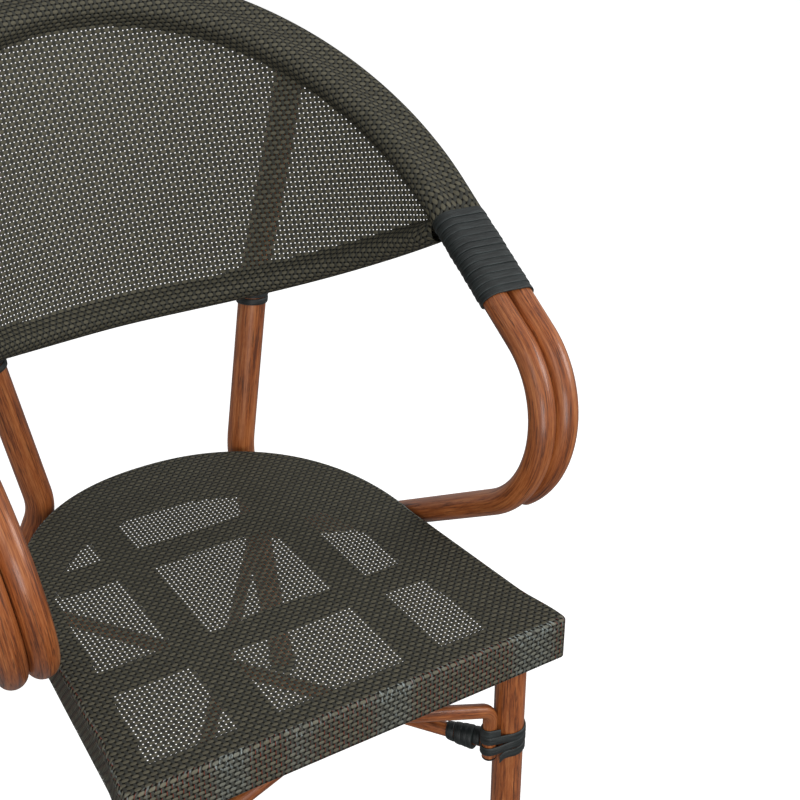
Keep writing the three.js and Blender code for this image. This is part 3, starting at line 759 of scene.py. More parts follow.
@dataclass
class Seat:
    """The seat: a flat frame of rails and bars, and the mesh stretched over it."""

    front_width: float = 0.4136
    rear_width: float = 0.373
    depth: float = 0.4335
    bow_start: float = 0.215
    bow_power: float = 2.2
    edge_height: float = 0.041
    corner_radius: float = 0.005
    fold_radius: float = 0.004
    flare_out: float = 0.0048
    flare: tuple[float, float] = (0.010, 0.060)
    sag: float = 0.0011
    sag_reach: float = 0.045
    heart: tuple[float, float] = (0.0, 0.21)
    bar_middle: float = 0.0775
    bar_half: float = 0.017
    rail: float = 0.028
    hem: float = 0.010
    hem_radius: float = 0.0016
    top: float = -CLEARANCE
    rows: int = 22
    front_points: int = 24
    corner_points: int = 10
    side_points: int = 33
    bow_points: int = 64
    fold_points: int = 8
    hem_turn_points: int = 4
    hem_points: int = 2
    carried: tuple[str, ...] = (
        "seat_front_rail", "seat_bow_rail", "seat_long_bar_right", "seat_long_bar_left",
    )
    crossing: tuple[str, ...] = ("seat_cross_bar_front", "seat_cross_bar_rear")

    def half_width(self, depth: float, inset: float = 0.0) -> float:
        """Half width of the seat: a straight taper that flares at the front, then the bow.

        Args:
            depth: distance behind the front edge.
            inset: how far inside the outline.

        Returns:
            The distance from the middle.
        """
        if depth <= self.bow_start:
            taper = (self.front_width - self.rear_width) / 2 - self.flare_out
            flare = self.flare_out * smoothstep(depth, *self.flare)
            return self.front_width / 2 - inset - flare - taper * depth / self.bow_start
        share = (depth - self.bow_start) / (self.depth - self.bow_start - inset)
        return (self.rear_width / 2 - inset) * max(1 - share ** self.bow_power, 0.0) ** (1 / self.bow_power)

    def outline(self, inset: float) -> Spots:
        """Points round the seat seen from above, anticlockwise from the middle of the front.

        Args:
            inset: how far inside the outline.

        Returns:
            Distances from the middle and behind the front edge.
        """
        straight = self.half_width(inset, inset) - self.corner_radius
        right = [(straight * k / self.front_points, inset) for k in range(self.front_points + 1)]
        for angle in spaced(0.0, math.pi / 2, self.corner_points)[1:]:
            y = inset + self.corner_radius * (1 - math.cos(angle))
            right.append((self.half_width(y, inset) - self.corner_radius * (1 - math.sin(angle)), y))
        side = spaced(inset + self.corner_radius, self.bow_start, self.side_points)
        right += [(self.half_width(y, inset), y) for y in side[1:]]
        half, length = self.rear_width / 2 - inset, self.depth - self.bow_start - inset
        power = 2 / self.bow_power
        for angle in spaced(0.0, math.pi / 2, self.bow_points)[1:-1]:
            y = self.bow_start + length * math.sin(angle) ** power
            right.append((half * math.cos(angle) ** power, y))
        right.append((0.0, self.bow_start + length))
        return right + [(-x, y) for x, y in reversed(right[1:-1])]

    def sink(self, x: float, y: float) -> float:
        """How far the mesh gives at a place between the bars and rails."""
        from_bar = abs(abs(x) - self.bar_middle) - self.bar_half
        beside = min(from_bar, self.half_width(y, self.rail) - abs(x), y - self.rail)
        return self.sag * smoothstep(beside, 0.0, self.sag_reach)

    def edge(self) -> list[tuple[float, float, float, float]]:
        """The cloth's way over the edge and under it.

        Returns:
            Rows from the flat out: share of the way to the outline, way in from there, height
            against the flat, and length of cloth.
        """
        fold, drop = self.fold_radius * math.pi / 2, self.edge_height - self.fold_radius
        way = []
        for angle in spaced(0.0, math.pi / 2, self.fold_points)[1:]:
            lower = self.fold_radius * (1 - math.cos(angle))
            way.append((math.sin(angle), 0.0, -lower, self.fold_radius * angle))
        for run in spaced(0.0, drop, self.fold_points)[1:]:
            way.append((1.0, 0.0, -self.fold_radius - run, fold + run))
        run, turn = fold + drop, self.hem_radius * math.pi / 2
        for angle in spaced(0.0, math.pi / 2, self.hem_turn_points)[1:]:
            run += turn / self.hem_turn_points
            inward, lower = self.hem_radius * (1 - math.cos(angle)), self.hem_radius * math.sin(angle)
            way.append((1.0, inward, -self.edge_height - lower, run))
        for inward in spaced(0.0, self.hem, self.hem_points)[1:]:
            under = -self.edge_height - self.hem_radius
            way.append((1.0, self.hem_radius + inward, under, run + inward))
        return way

    def mesh(self) -> tuple[Piece, float]:
        """The seat mesh as one sheet with its fold, its deep edge and its hem.

        Returns:
            The piece, and the flat area of its cloth.
        """
        draft = Draft()
        base, outer = self.outline(self.fold_radius), self.outline(0.0)
        hx, hy = self.heart
        rings = []
        for k in range(self.rows, 0, -1):
            share = k / self.rows
            spots = [(hx + (x - hx) * share, hy + (y - hy) * share) for x, y in base]
            rings.append(draft.row(
                [at(x, y, self.top - self.sink(x, y)) for x, y in spots], [(x, y, 0.0) for x, y in spots],
            ))
        draft.skin(rings)
        heart, last = draft.row([at(hx, hy, self.top - self.sink(hx, hy))], [(hx, hy, 0.0)])[0], rings[-1]
        for i, number in enumerate(last):
            draft.faces.append((number, last[(i + 1) % len(last)], heart))
            draft.smooth.append(True)
        ways_out = []
        for i in range(len(base)):
            before, after = outer[i - 1], outer[(i + 1) % len(base)]
            ways_out.append(Vector((after[1] - before[1], before[0] - after[0])).normalized())
        edge = [rings[0]]
        for share, inward, height, run in self.edge():
            points, places = [], []
            for (bx, by), (ox, oy), out in zip(base, outer, ways_out):
                x, y = bx + (ox - bx) * share - out.x * inward, by + (oy - by) * share - out.y * inward
                points.append(at(x, y, self.top + height))
                places.append((bx + out.x * run, by + out.y * run, run))
            edge.append(draft.row(points, places))
        draft.skin(edge, flipped=True)
        piece = draft.build("seat_weave")
        return piece, sum(face.area for face in piece.data.polygons)

    def build(self, shop: Workshop) -> None:
        """Make the mesh and finish the frame under it."""
        shop.repaint(Finish.FRAME, *self.carried, *self.crossing)
        weave, area = self.mesh()
        shop.mount(weave, Finish.MESH, "seat_mesh")


# Legs and glides


@dataclass
class Legs:
    """Front legs, rear legs with their uprights, and a glide under each.

    The glide's section is four tables of radius and height: sole as it is, outside and rim from
    the cup's outer wall, inside from its inner wall, and the last two from the cup's top.
    """

    radius: float = 0.014
    front_across: float = 0.17272
    front_depth: float = 0.033
    front_top: float = -0.0413
    room: float = 0.0148
    foot: tuple[float, float] = (0.222, 0.573)
    bend: Place = (0.108, 0.425, -0.008)
    at_rail: Place = (0.1405, 0.437, 0.176)
    middle: Place = (0.169, 0.4375, 0.285)
    head: Place = (0.194, 0.440, 0.388)
    bend_radius: float = 0.060
    front_points: int = 12
    glide_floor: float = 0.005
    glide_wall: float = 0.0023
    glide_height: float = 0.016
    glide_sides: int = 48
    sole: tuple[float, float] = (0.004, -0.032)
    outside: Outline = ((-0.0014, -0.032), (-0.0008, -0.0045), (0.0, -0.002))
    rim: Outline = ((0.0, -0.002), (-0.0002, -0.0009), (-0.0008, -0.0002))
    inside: Outline = ((0.0006, 0.0), (0.0, -0.0005), (0.0, -0.004))

    def front(self, sign: int) -> Stations:
        """Middle line of a front leg, from its glide up."""
        heights = spaced(self.glide_floor + CLEARANCE - SEAT_TOP, self.front_top, self.front_points)
        return [at(sign * self.front_across, self.front_depth, height) for height in heights]

    def rear_foot(self, sign: int) -> Vector:
        """Lowest point of a rear leg's middle line."""
        return at(sign * self.foot[0], self.foot[1], self.glide_floor + CLEARANCE - SEAT_TOP)

    def on_rear(self, below: float, sign: int) -> Vector:
        """The point of a rear leg's middle line at a distance below the seat, under its bend."""
        low, bend = self.rear_foot(sign), at(sign * self.bend[0], *self.bend[1:])
        return low.lerp(bend, (SEAT_TOP - below - low.z) / (bend.z - low.z))

    def rear(self, sign: int) -> Stations:
        """Middle line of a rear leg and upright, from its glide up."""
        low = self.rear_foot(sign)
        spots = [at(sign * x, y, z) for x, y, z in (self.bend, self.at_rail, self.middle, self.head)]
        axis = (spots[0] - low).normalized()
        return rounded([low + axis * (self.room * math.tan(math.acos(axis.z))), *spots], self.bend_radius)

    def glide(self, name: str, foot: Vector, above: Vector) -> Piece:
        """A cup round the foot of a leg, flat on the floor.

        Args:
            name: name of the piece.
            foot: lowest point of the leg's middle line.
            above: a point above it on the same line.

        Returns:
            The piece.
        """
        axis = (above - foot).normalized()
        outer, inner = self.radius + self.glide_wall, self.radius + CLEARANCE
        side = axis.cross(Vector((0, 1, 0))).normalized()
        up = side.cross(axis)
        top = self.glide_height - self.glide_floor
        profile = [self.sole, *((outer + more, height) for more, height in self.outside)]
        profile += [(outer + more, top + height) for more, height in self.rim]
        profile += [(inner + more, top + height) for more, height in self.inside]
        draft = Draft()
        rings = []
        for reach, height in profile:
            points = []
            for c, s in circle(self.glide_sides):
                point = foot + axis * height + side * (reach * c) + up * (reach * s)
                if point.z < 0:
                    point -= axis * (point.z / axis.z)
                points.append(point)
            rings.append(draft.row(points, [tuple(point) for point in points]))
        draft.skin(rings)
        draft.cover(rings[0], False)
        return draft.build(name)

    def build(self, shop: Workshop) -> None:
        """Make the legs and their glides."""
        for side, sign in SIDES:
            for place, line in (("front", self.front(sign)), ("rear", self.rear(sign))):
                leg = tube(f"{place}_leg_tube_{side}", line, self.radius, seed=2.3 + sign * 0.4 + len(place))
                shop.mount(leg, Finish.TUBE, f"{place}_leg_{side}")
                glide = self.glide(f"{place}_foot_glide_{side}", line[0], line[1])
                shop.mount(glide, Finish.PLASTIC, f"{place}_glide_{side}")


# Hoops, arms and lower rail


@dataclass
class Hoops:
    """Two tubes side by side that make the arms and the top of the back, and the lower rail."""

    legs: Legs
    radius: float = 0.0122
    half_width: float = 0.238
    bow_start: float = 0.270
    bow_length: float = 0.281
    start_height: float = 0.297
    slope: float = math.radians(31.8)
    pitch: float = 0.0247
    arm_bend: float = 0.094
    arm_corner: tuple[float, float] = (0.236, -0.008)
    arm_seat_depth: float = 0.262
    arm_seat_below: float = 0.033
    outer_cut: float = 0.0135
    knee_run: float = 0.045
    knee_bend: float = 0.060
    foot_below: float = 0.152
    cap: float = 0.0022
    cap_rounding: tuple[float, float] = (0.0002, 0.0019)
    mesh_front: float = 0.2425
    rail_radius: float = 0.011
    rail_bend: float = 0.241
    rail_centre: float = 0.208
    rail_sweep: float = math.radians(78.5)
    rail_low: float = 0.1625
    rail_rise: float = 0.130
    rail_power: float = 1.15
    rail_reach: float = 0.95
    bow_steps: int = 180
    rail_steps: int = 120
    measured_steps: int = 256
    quarter: float = field(init=False)

    def __post_init__(self) -> None:
        """Measure a quarter of the bow."""
        angles = spaced(0.0, math.pi / 2, self.measured_steps)
        self.quarter = lengths_along([self.bow_point(angle, 0.0) for angle in angles])[-1]

    @property
    def mesh_arm(self) -> float:
        """Length of the arm, below the bow, that the mesh covers."""
        return (self.bow_start - self.mesh_front) / math.cos(self.slope)

    @property
    def arm_slope(self) -> float:
        """Length of the arm down to its corner."""
        return (self.bow_start - self.arm_corner[1]) / math.cos(self.slope)

    def on_plane(self, across: float, along: float) -> Vector:
        """A point of the hoops' plane: across the chair, and up the slope from the bow's start."""
        return at(across, self.bow_start + along * math.cos(self.slope),
                  self.start_height + along * math.sin(self.slope))

    def bow_point(self, angle: float, offset: float) -> Vector:
        """A point of the bow at an angle from the right side, moved outward by an offset."""
        normal = Vector((math.cos(angle) / self.half_width, math.sin(angle) / self.bow_length)).normalized()
        return self.on_plane(self.half_width * math.cos(angle) + offset * normal.x,
                             self.bow_length * math.sin(angle) + offset * normal.y)

    def arm_pair(self, down: float, sign: int = 1) -> tuple[Vector, Vector]:
        """Middles of both tubes on the straight arm, a length down from the bow's start."""
        half = self.half_width + (self.arm_corner[0] - self.half_width) * down / self.arm_slope
        return self.on_plane(sign * half, -down), self.on_plane(sign * (half + self.pitch), -down)

    def pair(self, share: float) -> tuple[Vector, Vector]:
        """Middles of both tubes where the mesh covers them.

        Args:
            share: 1 at the mesh's right end, 0 at the middle, -1 at its left end.

        Returns:
            Middle of the inner tube and of the outer one.
        """
        sign = -1 if share < 0 else 1
        along = abs(share) * (self.quarter + self.mesh_arm)
        if along > self.quarter:
            return self.arm_pair(along - self.quarter, sign)
        angle = math.pi / 2 * (1 - along / self.quarter)
        inner, outer = self.bow_point(angle, 0.0), self.bow_point(angle, self.pitch)
        inner.x *= sign
        outer.x *= sign
        return inner, outer

    def under_seat(self, end: Vector, corner: Vector) -> Stations:
        """The inner tube's run under the seat, from the rear leg up to the side of the seat."""
        knee = end + (end - corner).normalized() * self.knee_run
        return rounded([self.legs.on_rear(self.foot_below, 1), knee, end], self.knee_bend)[:-1]

    def stations(self, which: int, seat: Seat) -> Stations:
        """Middle line of one tube from its right end to its left end.

        Args:
            which: 0 for the inner tube, 1 for the outer one.
            seat: the seat that the arms pass.

        Returns:
            The stations.
        """
        offset = which * self.pitch
        beside = seat.half_width(self.arm_seat_depth) + self.radius + CLEARANCE + offset
        end = at(beside, self.arm_seat_depth, -self.arm_seat_below)
        bow = [self.pair(share)[which] for share in spaced(1.0, -1.0, self.bow_steps)]
        corner = self.arm_pair(self.arm_slope)[which]
        arm = rounded([end, corner, bow[0]], self.arm_bend)
        cut = shortened(arm[1:], self.outer_cut) if which else [*self.under_seat(end, corner), *arm]
        return [*cut, *bow[1:-1], *reversed(mirrored(cut))]

    def rail_point(self, share: float) -> Vector:
        """A point of the lower rail at a share of its sweep, -1 at the left to 1 at the right."""
        angle = share * self.rail_sweep
        rise = self.rail_rise * (1 - math.cos(angle)) ** self.rail_power
        return at(self.rail_bend * math.sin(angle), self.rail_centre + self.rail_bend * math.cos(angle),
                  self.rail_low + rise)

    def build(self, shop: Workshop, seat: Seat) -> None:
        """Make both hoop tubes, the outer one's caps and the lower rail."""
        inner, outer = self.stations(0, seat), self.stations(1, seat)
        shop.mount(tube("inner_hoop_tube", inner, self.radius, seed=0.3), Finish.TUBE, "hoop_inner")
        shop.mount(tube("outer_hoop_tube", outer, self.radius, seed=0.9), Finish.TUBE, "hoop_outer")
        for side, sign in SIDES:
            line = outer if sign > 0 else mirrored(outer)
            out = (line[0] - line[1]).normalized()
            start = line[0] + out * CLEARANCE
            cap = tube(f"arm_cap_{side}", [start, start + out * self.cap], self.radius, self.cap_rounding)
            shop.mount(cap, Finish.PLASTIC, f"arm_end_cap_{side}")
        shares = spaced(self.rail_reach, -self.rail_reach, self.rail_steps)
        rail = [self.rail_point(share) for share in shares]
        shop.mount(tube("lower_rail_tube", rail, self.rail_radius, seed=1.7), Finish.TUBE, "back_lower_rail")


# Back mesh


@dataclass
class BackWeave:
    """Mesh of the back: one cut of cloth round both hoop tubes, down and round the lower rail."""

    hoops: Hoops
    sleeve: float = 0.0132
    rail_sleeve: float = 0.0119
    pocket: float = 1.45
    valley: float = 0.0024
    tuck: float = 0.006
    wrapped: float = -0.01
    flat_height: float = 0.45
    hoop_tip_share: float = 0.55
    rail_tip_share: float = 0.45
    tip_room: float = 1.02
    steps: int = 200
    circle_points: int = 96
    sleeve_points: int = 72
    rail_points: int = 30
    panel_points: int = 16

    def flattened(self, tops: Stations, lows: Stations) -> tuple[list[Vector], list[Vector]]:
        """Lay the panel between two rows flat, from its first pair on.

        Args:
            tops: points along the hoop, from the middle to one end.
            lows: points along the rail.

        Returns:
            Both rows in the plane of the flat cloth.
        """
        def meet(a: Vector, b: Vector, from_a: float, from_b: float) -> Vector:
            """The point at two distances from two others, on their right."""
            gap = b - a
            reach = gap.length
            along = (from_a ** 2 - from_b ** 2 + reach ** 2) / (2 * reach)
            out = math.sqrt(max(from_a ** 2 - along ** 2, 0.0))
            unit = gap / reach
            return a + unit * along + Vector((unit.y, -unit.x)) * out

        flat_tops = [Vector((0.0, (tops[0] - lows[0]).length))]
        flat_lows = [Vector((0.0, 0.0))]
        for k in range(1, len(tops)):
            slant = (lows[k] - tops[k - 1]).length
            low = meet(flat_lows[-1], flat_tops[-1], (lows[k] - lows[k - 1]).length, slant)
            top = meet(low, flat_tops[-1], (tops[k] - lows[k]).length, (tops[k] - tops[k - 1]).length)
            flat_lows.append(low)
            flat_tops.append(top)
        return flat_tops, flat_lows

    def wrap(self, centres: Sequence[Vector], axes: tuple[Vector, Vector], radius: float, towards: Vector,
             count: int, valley: float) -> list[tuple[Vector, float]]:
        """Cloth from a panel round one or two tubes and back.

        Args:
            centres: middles of the tubes, the one at the panel first.
            axes: two directions square to the tubes, across them and out of their plane.
            radius: radius of the cloth round a tube.
            towards: from the first tube to where the panel starts.
            count: number of points.
            valley: how deep the cloth dips between two tubes.

        Returns:
            The points and the length of cloth up to each.
        """
        across, out = axes

        def seen(vector: Vector) -> np.ndarray:
            """A vector in the plane of the two directions."""
            return np.array([vector.dot(across), vector.dot(out)])

        tip, least = seen(towards), radius * self.tip_room
        if np.linalg.norm(tip) < least:
            tip = tip / np.linalg.norm(tip) * least
        round_tube = np.array(circle(self.circle_points)) * radius
        ring = hull(np.concatenate([*(round_tube + seen(c - centres[0]) for c in centres), tip[None]]))
        first = int(np.argmin(np.linalg.norm(ring - tip, axis=1)))
        ring = np.concatenate([ring[first:], ring[:first + 1]])
        if ring[1][1] - ring[0][1] < ring[-2][1] - ring[-1][1]:
            ring = ring[::-1]
        steps = np.concatenate([[0], np.cumsum(np.linalg.norm(np.diff(ring, axis=0), axis=1))])
        runs = np.linspace(0, steps[-1], count)
        xs, ys = np.interp(runs, steps, ring[:, 0]), np.interp(runs, steps, ring[:, 1])
        lean = towards - across * towards.dot(across) - out * towards.dot(out)
        points = []
        for run, x, y in zip(runs, xs, ys):
            dip = 0.0
            if len(centres) > 1 and y > 0 and 0 < x < self.hoops.pitch:
                dip = valley * math.sin(math.pi * x / self.hoops.pitch) ** 2
            near = max(1 - min(run, steps[-1] - run) / (radius * self.pocket), 0.0)
            points.append((centres[0] + across * x + out * (y - dip) + lean * near, float(run)))
        return points

    def rows(self) -> tuple[list[Stations], list[list[Place]]]:
        """Rows of points from the rear of the rail to the rear of the hoops, and their places."""
        past = 1 + self.tuck / (self.hoops.quarter + self.hoops.mesh_arm)
        shares = spaced(past, -past, self.steps)
        middle = self.steps // 2
        pairs = [self.hoops.pair(share) for share in shares]
        tops, lows = [inner for inner, _ in pairs], [self.hoops.rail_point(share) for share in shares]
        flat_tops, flat_lows = self.flattened(tops[middle::-1], lows[middle::-1])
        plane = Vector((0, -math.sin(self.hoops.slope), math.cos(self.hoops.slope)))

        def along(row: list[Vector], k: int) -> Vector:
            """Direction of a row at one of its points."""
            return (row[min(k + 1, len(row) - 1)] - row[max(k - 1, 0)]).normalized()

        rows, places = [], []
        for k, ((inner, outer), low) in enumerate(zip(pairs, lows)):
            number, sign = abs(k - middle), 1 if k <= middle else -1
            flat_top, flat_low = flat_tops[number], flat_lows[number]
            down = low - inner
            length = down.length
            down /= length
            hoop_tip = down * min(self.sleeve * self.pocket, length * self.hoop_tip_share)
            rail_tip = -down * min(self.rail_sleeve * self.pocket, length * self.rail_tip_share)
            out = along(lows, k).cross(down).normalized()
            rail_up = along(lows, k).cross(out).normalized()
            if rail_up.dot(down) > 0:
                rail_up = -rail_up
            rail = self.wrap([low], (rail_up, out), self.rail_sleeve, rail_tip, self.rail_points, 0.0)
            axes = ((outer - inner).normalized(), plane)
            hoop = self.wrap([inner, outer], axes, self.sleeve, hoop_tip, self.sleeve_points, self.valley)
            top_edge, low_edge = along(flat_tops, number), along(flat_lows, number)
            hoop_side, rail_side = Vector((-top_edge.y, top_edge.x)), Vector((low_edge.y, -low_edge.x))
            flat_start = flat_low + (flat_top - flat_low) * (rail_tip.length / length)
            flat_end = flat_top + (flat_low - flat_top) * (hoop_tip.length / length)
            start, end = low + rail_tip, inner + hoop_tip
            shown = [(point, flat_start + rail_side * run, self.wrapped) for point, run in rail[:0:-1]]
            for part in spaced(0.0, 1.0, self.panel_points):
                shown.append((start + (end - start) * part, flat_start + (flat_end - flat_start) * part, 0.0))
            shown += [(point, flat_end + hoop_side * run, self.wrapped) for point, run in hoop[1:]]
            rows.append([point for point, _, _ in shown])
            places.append([(sign * flat.x, flat.y, band) for _, flat, band in shown])
        return rows, places

    def build(self, shop: Workshop) -> None:
        """Make the mesh and declare it."""
        draft = Draft()
        draft.skin([draft.row(points, kept) for points, kept in zip(*self.rows())], closed=False)
        piece = shop.mount(draft.build("back_weave"), Finish.MESH, "back_mesh")


# Arch and braces


@dataclass
class Bracing:
    """The front arch with its plugs, and the two crossed braces."""

    legs: Legs
    radius: float = 0.00675
    foot_below: float = 0.154
    shoulder_below: float = 0.1025
    bend: float = 0.015
    crown_bend: float = 0.100
    edge_height: float = 0.041
    plug: float = 0.002
    plug_rounding: tuple[float, float] = (0.0002, 0.0014)
    front: Place = (0.164, 0.0395, -0.158)
    rear_below: float = 0.143
    brace_cut: float = 0.004
    brace_points: int = 24

    @property
    def arch_across(self) -> float:
        """Distance of the arch's ends from the middle."""
        return self.legs.front_across - self.legs.radius - CLEARANCE - self.radius

    def arch(self) -> Stations:
        """Middle line of the arch, right end to left end."""
        y = self.legs.front_depth
        top = self.edge_height + CLEARANCE + self.radius
        slope = math.atan2(self.shoulder_below - top, self.arch_across)
        crown = at(0.0, y, -(top - self.crown_bend * (1 / math.cos(slope) - 1)))
        shoulder = at(self.arch_across, y, -self.shoulder_below)
        right = rounded([at(self.arch_across, y, -self.foot_below), shoulder, crown], self.bend)[:-1]
        over = rounded([shoulder, crown, mirrored([shoulder])[0]], self.crown_bend)[1:-1]
        return [*right, *over, *reversed(mirrored(right))]

    def line(self, sign: int) -> tuple[Vector, Vector]:
        """Ends of a brace, from one front leg to the other side's rear leg."""
        lift = sign * (self.radius + CLEARANCE / 2)
        return (at(sign * self.front[0], self.front[1], self.front[2] + lift),
                self.legs.on_rear(self.rear_below - lift, -sign))

    def build(self, shop: Workshop) -> None:
        """Make the arch, its plugs and the braces."""
        arch = self.arch()
        shop.mount(tube("arch_tube", arch, self.radius, seed=5.1), Finish.TUBE, "front_arch")
        for side, sign in SIDES:
            end = arch[0] if sign > 0 else mirrored(arch)[0]
            top = end - Vector((0, 0, CLEARANCE))
            line = [top, top - Vector((0, 0, self.plug))]
            plug = tube(f"arch_end_plug_{side}", line, self.radius, self.plug_rounding)
            shop.mount(plug, Finish.PLASTIC, f"arch_plug_{side}")
            near, far = self.line(sign)
            line = [near.lerp(far, share) for share in spaced(0.0, 1.0, self.brace_points)]
            line = shortened(line, self.brace_cut)
            brace = tube(f"brace_tube_{side}", line, self.radius, seed=6.0 + sign)
            shop.mount(brace, Finish.TUBE, f"cross_brace_{side}")


# Strip bindings


class Turn(Enum):
    """What one turn of a strip goes round."""

    PAIR = "two tubes"
    SINGLE = "one tube"


@dataclass(frozen=True)
class Strip:
    """A flat plastic strip and how it lies.

    It has a width, a pitch from turn to turn and a thickness. Its edge towards the turn before
    stands out by shingle, and its start is thicker by swell. gap sets the later turns apart from
    the first, tail lowers the strip's start and dip what follows. uneven and sway are how far a
    turn may stand out or aside at random. The last four say between which turns these come in.
    """

    width: float
    pitch: float
    turns: float
    thickness: float = 0.0016
    shingle: float = 0.0
    swell: float = 0.0
    gap: float = 0.0
    tail: float = 0.0
    dip: float = 0.0
    uneven: float = 0.0002
    sway: float = 0.0002
    tail_turns: tuple[float, float] = (0.0, 0.05)
    dip_turns: tuple[float, float] = (0.3, 0.6)
    gap_turns: tuple[float, float] = (0.93, 1.12)
    swell_turns: tuple[float, float] = (-0.3, 0.6)

    def rise(self, turn: float) -> float:
        """How far along its core the strip has come at a turn."""
        gap = self.gap * smoothstep(turn, *self.gap_turns)
        tail = self.tail * (1 - smoothstep(turn, *self.tail_turns))
        return turn * self.pitch + gap - tail - self.dip * smoothstep(turn, *self.dip_turns)


ARM_STRIP = Strip(0.0086, 0.0072, 13, 0.001, shingle=0.001, uneven=0.0004, sway=0.0007)
LEG_STRIP = Strip(0.0081, 0.0082, 3.0, 0.0013, shingle=0.0004, gap=0.0038, tail=0.0050, dip=0.0022)
BRACE_STRIP = Strip(0.0074, 0.0062, 4.6, 0.0014, shingle=0.0008, swell=0.0034, uneven=0.0007, sway=0.0012)
UPRIGHT_STRIP = Strip(0.0062, 0.007, 2)

# Middle of a strip's core at a turn, and the directions across, up and along it
Pose = tuple[Vector, Vector, Vector, Vector]
Loop = list[tuple[Vector, Vector]]


@dataclass
class Bindings:
    """All strip bindings of the chair.

    The section is a strip's upper outline: the place across it from -1 to 1, and the height in
    thicknesses.
    """

    hoops: Hoops
    legs: Legs
    bracing: Bracing
    arm_start: float = 0.157
    leg_low: float = 0.1536
    brace_start: float = 0.0170
    upright_below: float = 0.008
    leg_valley: int = 3
    tube_points: int = 20
    crossing_points: int = 5
    tilt: float = 0.05
    section: Outline = (
        (-1.0, 0.0), (-1.0, 0.45), (-0.95, 0.75), (-0.8, 0.93), (-0.4, 1.02), (0.0, 1.05),
        (0.4, 1.02), (0.8, 0.93), (0.95, 0.75), (1.0, 0.45), (1.0, 0.0),
    )

    def loop(self, turn: Turn, radii: tuple[float, float], spacing: float) -> Loop:
        """One turn: its places on the core, and the way out at each.

        Args:
            turn: what the turn goes round.
            radii: radius of each tube.
            spacing: distance between the tubes' middles, the second towards -X.

        Returns:
            The places and directions.
        """
        if turn is Turn.SINGLE:
            outs = [Vector(spot) for spot in circle(2 * self.tube_points)]
            return [(out * (radii[0] + CLEARANCE), out) for out in outs]
        lean = math.asin((radii[0] - radii[1]) / spacing)
        found = []
        for index, (radius, half) in enumerate(zip(radii, (math.pi / 2 + lean, math.pi / 2 - lean))):
            for k in range(self.tube_points + 1):
                angle = index * math.pi - half + 2 * half * k / self.tube_points
                out = Vector((math.cos(angle), math.sin(angle)))
                found.append((out * (radius + CLEARANCE) - Vector((index * spacing, 0)), out))
            place, out = found[-1]
            if index == 0:
                other = Vector((-spacing, 0)) + out * (radii[1] + CLEARANCE)
                found += [(spot, out) for spot in self.crossing(place, other)]
        return found + [(spot, found[0][1]) for spot in self.crossing(found[-1][0], found[0][0])]

    def crossing(self, start: Vector, end: Vector) -> Stations:
        """Points between two others, where the strip crosses from tube to tube."""
        return [start.lerp(end, share) for share in spaced(0.0, 1.0, self.crossing_points)[1:-1]]

    def wind(self, name: str, strip: Strip, loop: Loop, pose: Callable[[float], Pose], sign: int,
             seed: int) -> Piece:
        """Wind a strip round its core.

        Args:
            name: name of the piece.
            strip: the strip.
            loop: places and ways out of one turn.
            pose: the core's middle and directions at a turn.
            sign: -1 mirrors the piece.
            seed: seed of its unevenness.

        Returns:
            The piece.
        """
        rng = random.Random(seed)
        places = [place for place, _ in loop]
        shares = lengths_along([*places, places[0]])
        whole, count = shares[-1], len(loop)
        drawn = int(strip.turns) + 3
        lifts, tilts, sways = ([rng.uniform(-1, 1) for _ in range(drawn)] for _ in range(3))

        def drift(values: list[float], turn: float) -> float:
            """Value at a turn, between the values of whole turns."""
            number, part = int(turn), turn - int(turn)
            return values[number] * (1 - part) + values[number + 1] * part

        draft = Draft()
        rings = []
        for k in range(int(strip.turns * count) + 1):
            place, out = loop[k % count]
            turn = k // count + shares[k % count] / whole
            centre, across, up, along = pose(turn)
            tilt = self.tilt * drift(tilts, turn)
            outward = (across * out.x + up * out.y).normalized()
            middle = centre + across * place.x + up * place.y + along * (strip.sway * drift(sways, turn))
            swell = strip.swell * (1 - turn / strip.turns) * smoothstep(turn, *strip.swell_turns)
            thickness = strip.thickness + swell + strip.uneven * drift(lifts, turn)
            points = []
            for side, high in self.section:
                over = strip.shingle * (1 - side) / 2 + side * tilt * strip.thickness
                height = high * thickness + over * min(high * 2, 1.0)
                points.append(middle + along * (side * strip.width / 2) + outward * height)
            if sign < 0:
                points = mirrored(points)
            rings.append(draft.row(points, [(side, turn * whole, turn) for side, _ in self.section]))
        draft.skin(rings, flipped=sign < 0)
        draft.cover(rings[0], sign < 0)
        draft.cover(rings[-1], sign > 0)
        return draft.build(name)

    def on_line(self, near: Vector, far: Vector, start: float, strip: Strip) -> Callable[[float], Pose]:
        """Pose of a strip round a straight tube from near to far."""
        along = (far - near).normalized()
        across = Vector((0, 0, 1)).cross(along).normalized()
        up = along.cross(across)
        return lambda turn: (near + along * (start + strip.rise(turn)), across, up, along)

    def on_arm(self) -> Callable[[float], Pose]:
        """Pose of the strip round both tubes of the right arm."""
        hoops = self.hoops
        low, high = hoops.arm_pair(hoops.arm_slope)[1], hoops.arm_pair(0.0)[1]
        along = (high - low).normalized()
        across = (Vector((1, 0, 0)) - along * along.x).normalized()
        up = across.cross(along).normalized()
        first = (hoops.bow_start - self.arm_start) / math.cos(hoops.slope) - ARM_STRIP.width / 2
        return lambda turn: (hoops.arm_pair(first - ARM_STRIP.rise(turn))[1], across, up, along)

    def on_leg(self) -> Callable[[float], Pose]:
        """Pose of the strip round the right front leg and the arch's end."""
        across, depth = self.legs.front_across, self.legs.front_depth
        start = LEG_STRIP.width / 2 - self.leg_low
        axes = (Vector((1, 0, 0)), Vector((0, 1, 0)), Vector((0, 0, 1)))
        return lambda turn: (at(across, depth, start + LEG_STRIP.rise(turn)), *axes)

